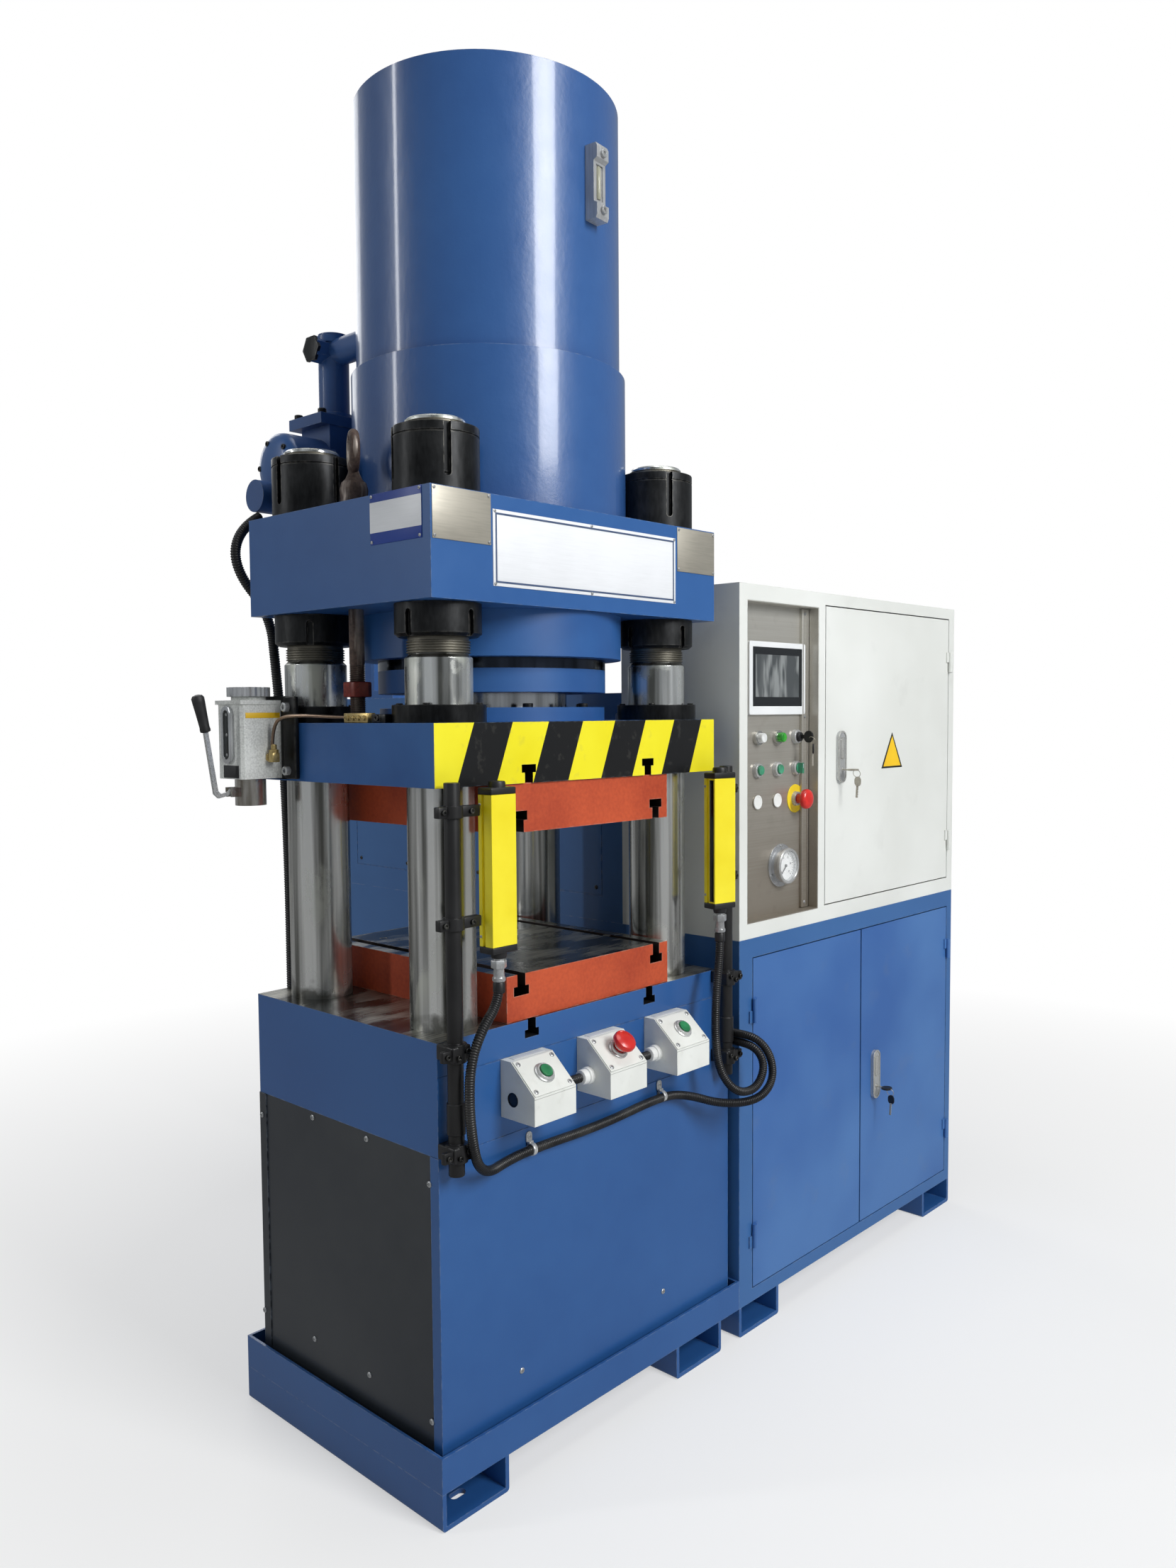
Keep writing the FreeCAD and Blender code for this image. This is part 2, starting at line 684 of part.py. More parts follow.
def lubricator_lever():
    """Pump lever: hub between the fork ears, cranked flat arm and a round grip."""
    hub = rod("lever_hub", f"{LUBE_X} - 35", f"{LUBE_Y} - 5", "1128", "7", "10", "Y")
    corners = [("-33", "1131.5"), ("-33", "1124.5"), ("-62", "1118.5"), ("-70", "1126"), ("-86", "1232"), ("-79", "1232"),
               ("-63", "1131"), ("-58", "1126")]
    arm = seat(padded("lever_arm", "XZ_Plane", corners, "6"), LUBE_X, f"{LUBE_Y} + 3", "0")
    grip = doc.addObject("Part::Cone", "lever_grip")
    bind(grip, {"Radius1": "7", "Radius2": "9", "Height": "58"})
    seat(grip, f"{LUBE_X} - 82", LUBE_Y, "1231", Rotation(Vector(0, 1, 0), -13))
    return fuse("lubricator_lever", hub, arm, grip)


# ---------------------------------------------------------------------------------------------
# Light curtains, poles, clamps and conduits
# ---------------------------------------------------------------------------------------------

def curtain_head(name, x, y, turn):
    """One housing: an extrusion with a clamping groove down each side."""
    half = "curtain_width / 2"
    back = "curtain_depth / 2"
    corners = [(f"-{half}", f"-{back}"), (half, f"-{back}"), (half, "2"), (f"{half} - 4", "2"), (f"{half} - 4", "8"),
               (half, "8"), (half, back), (f"-{half}", back), (f"-{half}", "8"), (f"-{half} + 4", "8"),
               (f"-{half} + 4", "2"), (f"-{half}", "2")]
    head = padded(name, "XY_Plane", corners, "curtain_height")
    return seat(head, x, y, "curtain_base", Rotation(Vector(0, 0, 1), value(turn)))


def curtain_trim(name, x, y, turn):
    """Caps on both ends of a housing, the knob above and the plug connector below."""
    half = "curtain_width / 2"
    back = "curtain_depth / 2"
    low = span(name + "_low", f"-{half}", half, f"-{back}", back, "-curtain_cap", "0")
    high = span(name + "_high", f"-{half}", half, f"-{back}", back, "curtain_height", "curtain_height + curtain_cap")
    knob = rod(name + "_knob", "0", "0", "curtain_height + curtain_cap - 1", "13", "9")
    plug = rod(name + "_plug", "0", "0", "-curtain_cap - 46", "10", "47")
    lower = fuse(name + "_lower", low, plug)
    upper = fuse(name + "_upper", high, knob)
    turning = Rotation(Vector(0, 0, 1), value(turn))
    return [seat(piece, x, y, "curtain_base", turning) for piece in (lower, upper)]


LEFT_HEAD = ("left_curtain_x", "left_curtain_y", "0")
RIGHT_HEAD = ("right_curtain_x", "right_curtain_y", "right_curtain_turn")
POLES = {"left": "left_pole_x", "right": "right_pole_x"}


def stand_clamp(name, x, z, half_height, rear, ear_side, ear_length):
    """Clamp block with an eight-sided hole that grips a pole, and an ear to one side."""
    block = span(name + "_block", f"{x} - 19", f"{x} + 19", "pole_y - 17", rear, f"{z} - {half_height}", f"{z} + {half_height}")
    near = f"{x} + 19" if ear_side == "+" else f"{x} - 19 - {ear_length}"
    ear = box(name + "_ear", near, "pole_y - 12", f"{z} - {half_height} + 2", ear_length, "8", f"2 * {half_height} - 4")
    hole = prism(name + "_hole", x, "pole_y", f"{z} - {half_height} - 1", "pole_radius / cos(22.5 deg)",
                 f"2 * {half_height} + 2", "Z", 8)
    return cut(name, fuse(name + "_solid", block, ear), hole)


def curtain_stand(side, x):
    """One pole with its four clamps: two tie it to the bed, two reach into the housing's groove."""
    pieces = [rod(f"pole_{side}", x, "pole_y", "pole_base", "pole_radius", "pole_top - pole_base")]
    outward, inward = ("-", "+") if side == "left" else ("+", "-")
    for z in ("592", "746"):
        pieces.append(stand_clamp(f"bed_clamp_{side}_{z}", x, z, "12", BED_FRONT, outward, "16"))
    reach = "left_curtain_x - curtain_width / 2 - left_pole_x - 19" if side == "left" else "1"
    for z in ("942", "1111"):
        pieces.append(stand_clamp(f"head_clamp_{side}_{z}", x, z, "10", "pole_y + 17", inward, reach))
    return group(f"stand_{side}", *pieces)


def curtain_stands():
    """The two poles with the clamps that tie them to the bed and the housings to them."""
    return group("curtain_stands", *[curtain_stand(side, x) for side, x in POLES.items()])


LEFT_ROUTE = [(-733.5, -295, 843), (-733.5, -295, 800), (-797, -309, 712), (-800, -312, 618), (-738, -272, 545),
              (-640, -268.5, 545), (-470, -269, 541), (-304, -268.5, 552), (-240, -270, 551), (-188, -300, 503),
              (-82, -364, 503), (-82, -364, 627), (-102, -300, 668), (-79, -232, 652)]
RIGHT_ROUTE = [(-172.7, -303.6, 843), (-172.7, -303.6, 795), (-192, -320, 715), (-193, -320, 612), (-172, -291, 512),
               (-82, -345.5, 512), (-82, -345.5, 618), (-98, -290, 650), (-79, -232, 630)]


def sensor_conduit(name, route):
    """Black conduit of one sensing head, down its pole and round the loop to the cabinet."""
    points = [Vector(*place) for place in route]
    return hose(name, points, "conduit_radius")


def conduit_fittings():
    """Clips on the skirt, and the white glands and short conduits between the control boxes."""
    pieces = []
    for name, x, z in (("clip_left", -640, 545), ("clip_right", -304, 552)):
        strap = prism(name + "_strap", f"{x} - 5", "-268.5", z, "12.5", "10", "X", 8)
        hole = prism(name + "_hole", f"{x} - 6", "-268.5", z, "9.4", "12", "X", 8)
        tab = span(name + "_tab", f"{x} - 7", f"{x} + 7", f"{BED_FRONT} - 4", f"{BED_FRONT} - 1", f"{z} + 5", f"{z} + 26")
        skin = span(name + "_skin", f"{x} - 8", f"{x} + 8", f"{BED_FRONT} - 1", f"{BED_FRONT} + 9", f"{z} - 20", f"{z} + 30")
        pieces.append(cut(name, fuse(name + "_solid", strap, tab), hole, skin))
    y, z = f"{BED_FRONT} - 28", "645"
    gap = "(box_pitch - box_width)"
    for number in range(2):
        start = f"press_x + box_shift + box_pitch * ({number} - 0.5) - {gap} / 2"
        section = [("0", "0"), ("conduit_radius", "0"), ("conduit_radius", f"{gap} - 20"), ("12", f"{gap} - 20"),
                   ("12", gap), ("0", gap)]
        pieces.append(turned(f"box_link_{number}", section, start, y, z, ALONG["X"]))
    return group("conduit_fittings", *pieces)


# ---------------------------------------------------------------------------------------------
# Control boxes with their buttons
# ---------------------------------------------------------------------------------------------

SLOPE = math.atan2(value("box_top - box_nose"), value("box_reach - box_shelf"))
FACE_TURN = Rotation(Vector(1, 0, 0), math.degrees(SLOPE))
FACE_Y = f"{BED_FRONT} - (box_shelf + box_reach) / 2"
FACE_Z = "(box_top + box_nose) / 2"


def on_slope(thing, x, lift):
    """Seat a thing, drawn along its own Z, square on a box's sloping face."""
    up = Vector(0, -math.sin(SLOPE), math.cos(SLOPE)) * lift
    return seat(thing, x, f"{FACE_Y} + ({up.y:.4f})", f"{FACE_Z} + {up.z:.4f}", FACE_TURN)


def round_piece(name, corners, x, lift):
    """A turned piece that stands square on a sloping face."""
    return on_slope(turned(name, corners, "0", "0"), x, lift)


def control_box(name, number):
    """Desk-shaped box on the bed front, with a bezel and a well for its button."""
    left = f"press_x + box_shift + box_pitch * ({number} - 1) - box_width / 2"
    corners = [(BED_FRONT, "box_base"), (BED_FRONT, "box_top"), (f"{BED_FRONT} - box_shelf", "box_top"),
               (f"{BED_FRONT} - box_reach", "box_nose"), (f"{BED_FRONT} - box_reach", "box_base")]
    shell = seat(padded(name + "_shell", "YZ_Plane", corners, "box_width"), left, "0", "0")
    x = f"{left} + box_width / 2"
    bezel = round_piece(name + "_bezel", [("0", "-2"), ("15", "-2"), ("15", "6"), ("0", "6")], x, 0)
    well = round_piece(name + "_well", [("0", "-14"), ("11.6", "-14"), ("11.6", "8"), ("0", "8")], x, 0)
    side_hole = rod(name + "_side_hole", f"{left} - 1", f"{BED_FRONT} - 28", "645", "10", "11", "X")
    tools = [well, side_hole] if number == 0 else [well]
    return cut(name, fuse(name + "_blank", shell, bezel), *tools)


def box_x(number):
    return f"press_x + box_shift + box_pitch * ({number} - 1)"


def push_button(name, number):
    """Green button of a control box."""
    return round_piece(name, [("0", "-8"), ("11.3", "-8"), ("11.3", "10"), ("0", "10")], box_x(number), 0)


def stop_button(name, number):
    """Mushroom head of a control box's stop button."""
    corners = [("0", "-8"), ("11.3", "-8"), ("11.3", "14"), ("20", "21"), ("20", "28"), ("8", "33"), ("0", "33")]
    return round_piece(name, corners, box_x(number), 0)


# ---------------------------------------------------------------------------------------------
# Cabinet, doors, hinges, locks
# ---------------------------------------------------------------------------------------------

def shell_box(name, x0, x1, y0, y1, z0, z1):
    """A closed sheet box, hollow inside."""
    outer = span(name + "_outer", x0, x1, y0, y1, z0, z1)
    skin = "cabinet_sheet"
    inner = span(name + "_inner", f"{x0} + {skin}", f"{x1} - {skin}", f"{y0} + {skin}", f"{y1} - {skin}",
                 f"{z0} + {skin}", f"{z1} - {skin}")
    return outer, inner


HINGE_Y = f"{FRONT} - hinge_radius - 0.5"


def frame_leaf(name, x, z, outward):
    """Leaf of a hinge on the frame, beside the barrel."""
    near, far = (f"{x} + 5.3", f"{x} + 14") if outward == "+" else (f"{x} - 14", f"{x} - 5.3")
    return span(name, near, far, f"{FRONT} - 3", FRONT, f"{z} - 24", z)


def door_knuckle(name, x, z, inward):
    """Barrel of a lift-off hinge with its leaf on the door."""
    barrel = rod(name + "_barrel", x, HINGE_Y, f"{z} - 24", "hinge_radius", "48.3")
    near, far = (f"{x} - 14", f"{x} - 2.7") if inward == "-" else (f"{x} + 2.7", f"{x} + 14")
    leaf = span(name + "_leaf", near, far, f"{FRONT} - 3.3", f"{FRONT} + 0.5", z, f"{z} + 24.3")
    return fuse(name, barrel, leaf)


def cabinet_upper():
    """White switch cabinet: sheet shell with the openings of its door and of the operator panel."""
    outer, inner = shell_box("switch_box", "unit_left", RIGHT, FRONT, "cabinet_back", "cabinet_seam", "cabinet_top")
    door_hole = span("switch_door_hole", "door_left", "door_right", f"{FRONT} - 1", f"{FRONT} + 10", "door_base", "door_top")
    panel_hole = span("switch_panel_hole", "panel_left", "panel_right", f"{FRONT} - 1", f"{FRONT} + 10", "panel_base", "panel_top")
    shell = cut("switch_shell", outer, inner, door_hole, panel_hole)
    leaves = [frame_leaf(f"switch_leaf_{z}", "door_right - door_gap / 2", z, "+") for z in ("1377", "935")]
    return fuse("cabinet_upper", shell, *leaves)


def cabinet_lower():
    """Blue base cabinet of the power unit, open at the front behind its two doors."""
    outer, inner = shell_box("base_box", "unit_left", RIGHT, FRONT, "unit_rear", "foot_height", "cabinet_seam")
    hole = span("base_door_hole", "low_door_left", "low_door_right", f"{FRONT} - 1", f"{FRONT} + 10", "low_door_base",
                "low_door_top")
    shell = cut("base_shell", outer, inner, hole)
    leaves = []
    for z in ("660", "198"):
        leaves.append(frame_leaf(f"base_leaf_left_{z}", "low_door_left + door_gap / 2", z, "-"))
        leaves.append(frame_leaf(f"base_leaf_right_{z}", "low_door_right - door_gap / 2", z, "+"))
    return fuse("cabinet_lower", shell, *leaves)


def power_enclosure():
    """Blue enclosure behind the switch cabinet, with two screwed side hatches in shallow frames."""
    outer, inner = shell_box("enclosure", "unit_left", RIGHT, "cabinet_back", "unit_rear", "cabinet_seam", "enclosure_top")
    grooves = []
    for number, y0 in enumerate((88, 550)):
        rim = span(f"hatch_rim_{number}", "unit_left - 1", "unit_left + 1", y0, f"{y0} + 421", "860", "1250")
        land = span(f"hatch_land_{number}", "unit_left - 2", "unit_left + 2", f"{y0} + 3", f"{y0} + 418", "863", "1247")
        grooves.append(cut(f"hatch_groove_{number}", rim, land))
    return cut("power_enclosure", outer, inner, *grooves)


def door(name, x0, x1, z0, z1, hinge_x, hinge_side, heights):
    """Folded door sheet: a face with a rim folded back round it, and its hinge knuckles."""
    gap = "door_gap"
    face = span(name + "_face", f"{x0} + {gap}", f"{x1} - {gap}", FRONT, f"{FRONT} + door_depth", f"{z0} + {gap}", f"{z1} - {gap}")
    fold = span(name + "_fold", f"{x0} + {gap} + 2", f"{x1} - {gap} - 2", f"{FRONT} + 2", f"{FRONT} + door_depth + 1",
                f"{z0} + {gap} + 2", f"{z1} - {gap} - 2")
    tray = cut(name + "_tray", face, fold)
    return [tray] + [door_knuckle(f"{name}_knuckle_{z}", hinge_x, z, hinge_side) for z in heights]


def lock_plate(name, x, z):
    """Oval lock body let into the door."""
    middle = span(name + "_middle", f"{x} - 15", f"{x} + 15", f"{FRONT} - 7", f"{FRONT} + 14", f"{z} - 41", f"{z} + 41")
    ends = [rod(f"{name}_end_{side}", x, f"{FRONT} - 7", f"{z} {side} 41", "15", "21", "Y") for side in "-+"]
    recess = span(name + "_recess", f"{x} - 8", f"{x} + 8", f"{FRONT} - 8", f"{FRONT} - 4", f"{z} - 6", f"{z} + 42")
    keyway = rod(name + "_keyway", x, f"{FRONT} - 8", f"{z} - 28", "5", "7", "Y")
    return fuse(name, middle, *ends), (recess, keyway)


def upper_door():
    solids = door("upper_sheet", "door_left", "door_right", "door_base", "door_top", "door_right - door_gap / 2", "-",
                  ("1377", "935"))
    lock, hollows = lock_plate("upper_lock", "304", "1159")
    return cut("upper_door", fuse("upper_door_blank", *solids, lock), *hollows)


def lower_door_right():
    solids = door("lower_sheet_right", "400", "low_door_right", "low_door_base", "low_door_top",
                  "low_door_right - door_gap / 2", "-", ("660", "198"))
    lock, hollows = lock_plate("lower_lock", "462", "420")
    return cut("lower_door_right", fuse("lower_door_right_blank", *solids, lock), *hollows)


def lower_door_left():
    solids = door("lower_sheet_left", "low_door_left", "400", "low_door_base", "low_door_top",
                  "low_door_left + door_gap / 2", "+", ("660", "198"))
    return fuse("lower_door_left", *solids)


def lock_key(name, x, z):
    """Key in its keyway: a flat blade and a round bow."""
    blade = box(name + "_blade", f"{x} - 3", f"{FRONT} - 26", f"{z} - 1.2", "6", "24", "2.4")
    bow = rod(name + "_bow", x, f"{FRONT} - 33", f"{z} - 1.2", "11", "2.4")
    return fuse(name, blade, bow)


# ---------------------------------------------------------------------------------------------
# Operator panel and its devices
# ---------------------------------------------------------------------------------------------

PLATE_Y = f"{FRONT} + panel_recess"


DEVICES = [("device_right", "lamp_row"), ("device_left", "button_row"), ("device_middle", "button_row"),
           ("device_right", "button_row"), ("device_right", "stop_row")]


def operator_panel():
    """Stainless tray behind the opening, with the bored collars of its devices and two blanking plugs."""
    outer = span("panel_outer", "panel_left", "panel_right", f"{FRONT} + 0.5", f"{PLATE_Y} + 3", "panel_base", "panel_top")
    inner = span("panel_inner", "panel_left + 2", "panel_right - 2", f"{FRONT} - 1", PLATE_Y, "panel_base + 2", "panel_top - 2")
    touch = span("panel_touch_hole", "touch_x - 95", "touch_x + 95", f"{PLATE_Y} - 1", f"{PLATE_Y} + 4", "touch_z - 66", "touch_z + 66")
    collars = []
    bores = []
    for x, z in DEVICES:
        collars.append(rod(f"collar_{x}_{z}", x, f"{PLATE_Y} - 8", z, "14.5", "9", "Y"))
        bores.append(rod(f"bore_{x}_{z}", x, f"{PLATE_Y} - 9", z, "10", "11", "Y"))
    plugs = [rod(f"panel_plug_{x}", x, f"{PLATE_Y} - 3", "stop_row", "14", "4", "Y") for x in ("device_left", "device_middle")]
    plate = cut("panel_plate", outer, inner)
    return cut("operator_panel", fuse("panel_solid", plate, *collars, *plugs), touch, *bores)


def pilot_lamps():
    """White and green lamp lenses in their collars."""
    section = [("0", "0"), ("14.5", "0"), ("14.5", "8"), ("10", "8"), ("10", "17"), ("0", "17")]
    return group("pilot_lamps", *[turned(f"lamp_{x}", section, x, PLATE_Y, "lamp_row", Rotation(Vector(1, 0, 0), 90))
                                  for x in ("device_left", "device_middle")])


def panel_button(name, x, z):
    return rod(name, x, f"{PLATE_Y} - 12", z, "9.7", "9", "Y")


def selector_knob():
    """Selector: a round boss with a raised lever across it."""
    boss = rod("selector_boss", "device_right", f"{PLATE_Y} - 11", "button_row", "9.7", "10", "Y")
    wing = box("selector_wing", "device_right - 3.5", f"{PLATE_Y} - 21", "button_row - 11", "7", "11", "22")
    return fuse("selector_knob", boss, wing)


def switch_key():
    """Barrel of the key switch with its key."""
    barrel = rod("switch_key_barrel", "device_right", f"{PLATE_Y} - 14", "lamp_row", "9.7", "13", "Y")
    blade = box("switch_key_blade", "device_right - 1.2", f"{PLATE_Y} - 26", "lamp_row - 4", "2.4", "13", "8")
    bow = rod("switch_key_bow", "device_right - 1.5", f"{PLATE_Y} - 34", "lamp_row", "10", "3", "X")
    return fuse("switch_key", barrel, blade, bow)


def panel_stop():
    """Mushroom head of the panel's stop button."""
    corners = [("0", "3"), ("9.7", "3"), ("9.7", "18"), ("20", "25"), ("20", "32"), ("8", "37"), ("0", "37")]
    return turned("panel_stop_button", corners, "device_right", PLATE_Y, "stop_row", Rotation(Vector(1, 0, 0), 90))


def touch_panel():
    """Touch panel: bezel with its screen let in, and the case behind the plate."""
    front = span("touch_front", "touch_x - 102", "touch_x + 102", f"{PLATE_Y} - 7", PLATE_Y, "touch_z - 74", "touch_z + 74")
    soft = fillet_edges("touch_soft", front, "5", lambda edge: edge.BoundBox.YLength > 6)
    screen = span("touch_screen_sunk", "touch_x - 90", "touch_x + 90", f"{PLATE_Y} - 8", f"{PLATE_Y} - 6", "touch_z - 57", "touch_z + 63")
    case = span("touch_case", "touch_x - 94", "touch_x + 94", PLATE_Y, f"{PLATE_Y} + 32", "touch_z - 65", "touch_z + 65")
    return cut("touch_panel", fuse("touch_solid", soft, case), screen)


def pressure_gauge():
    """Gauge case with its flange; the dial lies open behind the ring for the pointer."""
    section = [("0", "0"), ("45", "0"), ("45", "3"), ("36", "3"), ("36", "22"), ("31", "22"), ("31", "14"), ("0", "14")]
    return turned("pressure_gauge", section, "gauge_x", PLATE_Y, "gauge_z", Rotation(Vector(1, 0, 0), 90))


def gauge_pointer():
    """Pointer on its hub, at the zero end of the dial."""
    hub = rod("pointer_hub", "gauge_x", f"{PLATE_Y} - 17", "gauge_z", "3", "2.7", "Y")
    needle = doc.addObject("Part::Wedge", "pointer_needle")
    bind(needle, {"Xmin": "-1.6", "Xmax": "1.6", "Ymin": "0", "Ymax": "26", "Zmin": "0", "Zmax": "0.8",
                  "X2min": "-0.4", "X2max": "0.4", "Z2min": "0", "Z2max": "0.8"})
    lean = Rotation(Vector(0, 1, 0), 225) * Rotation(Vector(1, 0, 0), 90)
    seat(needle, "gauge_x", f"{PLATE_Y} - 16", "gauge_z", lean)
    return fuse("gauge_pointer", hub, needle)


# ---------------------------------------------------------------------------------------------
# Inside the cabinets, behind the press, and the motor
# ---------------------------------------------------------------------------------------------

def switchgear_plate():
    """Mounting plate with breakers, relays and controller on rails between cable ducts."""
    rear = "cabinet_back - cabinet_sheet"
    plate = span("gear_plate", "280", "790", f"{rear} - 5", f"{rear} - 3", "860", "1460")
    pieces = [plate, span("gear_spacer", "500", "560", f"{rear} - 3", rear, "900", "1420")]
    for number, z in enumerate((880, 1080, 1280, 1430)):
        pieces.append(span(f"gear_duct_{number}", "290", "780", f"{rear} - 45", f"{rear} - 5", z, f"{z} + 25"))
    for number, (x0, x1, z0, z1, deep) in enumerate(((310, 520, 1320, 1400, 75), (540, 760, 1320, 1400, 60), (310, 480, 1130, 1220, 70),
                                                    (500, 640, 1130, 1230, 85), (660, 760, 1130, 1220, 60), (310, 760, 930, 1010, 55))):
        pieces.append(span(f"gear_unit_{number}", x0, x1, f"{rear} - {deep}", f"{rear} - 5", z0, z1))
    return fuse("switchgear_plate", *pieces)


def pump_unit():
    """Pump set in the base cabinet: frame rails, motor, coupling housing and gear pump."""
    floor = "foot_height + cabinet_sheet"
    axis_z = "260"
    rails = [span(f"pump_rail_{x}", x, f"{x} + 40", "40", "720", floor, f"{floor} + 40") for x in ("180", "420")]
    feet = [span(f"pump_foot_{y}", "190", "450", y, f"{y} + 40", f"{floor} + 40", axis_z) for y in ("420", "640")]
    motor = rod("pump_motor_body", "320", "380", axis_z, "130", "380", "Y")
    lantern = span("pump_lantern", "240", "400", "260", "385", "180", "340")
    pump = span("pump_case", "262", "378", "90", "265", "202", "318")
    stand = span("pump_stand", "270", "370", "180", "240", f"{floor} + 40", axis_z)
    terminal = span("pump_terminal", "250", "390", "470", "590", "370", "430")
    return fuse("pump_unit", motor, lantern, pump, stand, terminal, *rails, *feet)


def tank_motor():
    """Vertical motor on the enclosure: square flange, finned body and cowl."""
    x, y, z = "20", "900", "enclosure_top"
    flange = box("motor_flange", f"{x} - 90", f"{y} - 90", z, "180", "180", "20")
    corners = []
    for number in range(48):
        angle = math.radians(7.5 * number)
        radius = 88 if number % 4 in (0, 1) else 78
        corners.append((f"{radius * math.cos(angle):.3f}", f"{radius * math.sin(angle):.3f}"))
    body = seat(padded("motor_body", "XY_Plane", corners, "104"), x, y, f"{z} + 19")
    cowl = rod("motor_cowl", x, y, f"{z} + 122", "92", "62")
    return fuse("tank_motor", flange, body, cowl)


def rear_valves():
    """Filling valve behind the crown: bracket, block, flange plate, pipe into the tank with a plugged branch."""
    back = "press_y + crown_depth / 2"
    middle = f"{back} + 52"
    bracket = span("valve_bracket", "-660", "-540", back, f"{back} + 14", "1460", "1592")
    block = span("valve_block", "-650", "-555", f"{back} + 4", f"{back} + 94", "1560", "1797")
    plate = span("valve_plate", "-670", "-560", f"{back} + 2", f"{back} + 106", "1797", "1817")
    drum = turned("valve_drum", [("0", "0"), ("40", "0"), ("60", "14"), ("60", "100"), ("0", "100")], "-738", middle,
                  "1716", ALONG["X"])
    side = rod("valve_side", "-782", middle, "1655", "29", "90", "X")
    riser = rod("valve_riser", "-604", middle, "1817", "29", "160")
    branch = rod("valve_branch", "-604", "press_y + 190", "1944", "25", f"{middle} - (press_y + 190)", "Y")
    plug = prism("valve_plug", "-654", middle, "1944", "24", "50", "X")
    solid = fuse("valve_solid", bracket, block, plate, drum, side, riser, branch, plug)
    wall = rod("valve_tank_wall", "press_x", "press_y", "1900", "tank_radius", "100")
    return cut("rear_valves", solid, wall)


REAR_ROUTE = [(-774, 286, 1618), (-824, 276, 1590), (-838, 272, 1520), (-768, 268, 1440), (-760, 266, 1345),
              (-750, 262, 1200), (-746, 258, 960), (-748, 255, 720), (-746, 254, 480), (-749, 254, 250),
              (-748, 254, 65.5)]


def rear_hose():
    """Black hose from the filling valve round behind the crown and down to the tray."""
    return hose("rear_hose", [Vector(*place) for place in REAR_ROUTE], "rear_hose_radius")


# ---------------------------------------------------------------------------------------------
# Build every node, check it and write it
# ---------------------------------------------------------------------------------------------

columns()
base_tray()
foot_channels()
bed()
skirt_wrap("skirt_front", f"{BED_FRONT} - 1", "+")
group("skirt_sheets", skirt_wrap("skirt_rear", "press_y + bed_depth / 2 + 1", "-"), *skirt_sides())
column_nuts()
crown()
main_cylinder()
oil_tank()
level_gauge()
stop_rod()
slide()
guide_bushes()
ram()
red_plate("bolster_plate", "bed_top", "bed_top + bolster_height", "bed_top + bolster_height", False)
red_plate("upper_plate", "slide_base - upper_plate_height", "slide_base", "slide_base - upper_plate_height", True)
lubricator()
lube_line()
filler_cap()
lubricator_lever()
group("light_curtains", curtain_head("left_head", *LEFT_HEAD), curtain_head("right_head", *RIGHT_HEAD))
group("curtain_fittings", *curtain_trim("left_trim", *LEFT_HEAD), *curtain_trim("right_trim", *RIGHT_HEAD))
curtain_stands()
sensor_conduit("left_conduit", LEFT_ROUTE)
sensor_conduit("right_conduit", RIGHT_ROUTE)
conduit_fittings()
control_box("control_box_left", 0)
control_box("control_box_middle", 1)
control_box("control_box_right", 2)
push_button("box_button_left", 0)
stop_button("box_stop_button", 1)
push_button("box_button_right", 2)
cabinet_upper()
cabinet_lower()
power_enclosure()
upper_door()
lower_door_left()
lower_door_right()
lock_key("upper_lock_key", "304", "1131")
lock_key("lower_lock_key", "462", "392")
operator_panel()
pilot_lamps()
panel_button("panel_button_left", "device_left", "button_row")
panel_button("panel_button_right", "device_middle", "button_row")
selector_knob()
switch_key()
panel_stop()
touch_panel()
pressure_gauge()
gauge_pointer()
switchgear_plate()
pump_unit()
tank_motor()
rear_valves()
rear_hose()

NODES = [
    "base_tray", "foot_channels", "bed", "skirt_front", "skirt_sheets", "column_front_left",
    "column_front_right", "column_rear_left", "column_rear_right", "column_nuts", "crown", "main_cylinder", "oil_tank",
    "level_gauge", "stop_rod", "slide", "guide_bushes", "ram", "bolster_plate", "upper_plate", "lubricator", "lube_line",
    "filler_cap", "lubricator_lever", "light_curtains", "curtain_fittings", "curtain_stands",
    "left_conduit", "right_conduit", "conduit_fittings", "control_box_left", "control_box_middle",
    "control_box_right", "box_button_left", "box_stop_button", "box_button_right", "cabinet_upper", "cabinet_lower",
    "power_enclosure", "upper_door", "lower_door_left", "lower_door_right", "upper_lock_key", "lower_lock_key",
    "operator_panel", "pilot_lamps", "panel_button_left", "panel_button_right", "selector_knob",
    "switch_key", "panel_stop_button", "touch_panel", "pressure_gauge", "gauge_pointer", "switchgear_plate",
    "pump_unit", "tank_motor", "rear_valves", "rear_hose",
]

doc.recompute()
for thing in doc.Objects:
    if "Invalid" in thing.State or "Error" in thing.State:
        raise RuntimeError(f"{thing.Name} failed: {thing.State}")
for name in NODES:
    node = doc.getObject(name)
    if node.Shape.isNull() or not node.Shape.isValid() or not node.Shape.Solids:
        raise RuntimeError(f"{name} has no valid solid")
for name in NODES:
    doc.getObject(name).Label = name
    doc.getObject(name).Shape.exportStep(f"parts/{name}.step")
print(len(NODES), "nodes")
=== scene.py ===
"""Looks of a four-column hydraulic press with its switch cabinet and power unit.

Lengths are written in millimetres and turned into metres where a piece is made. The front faces
-Y and the cabinet stands on the +X side.
"""
import math

import bpy
from mathutils import Matrix, Vector


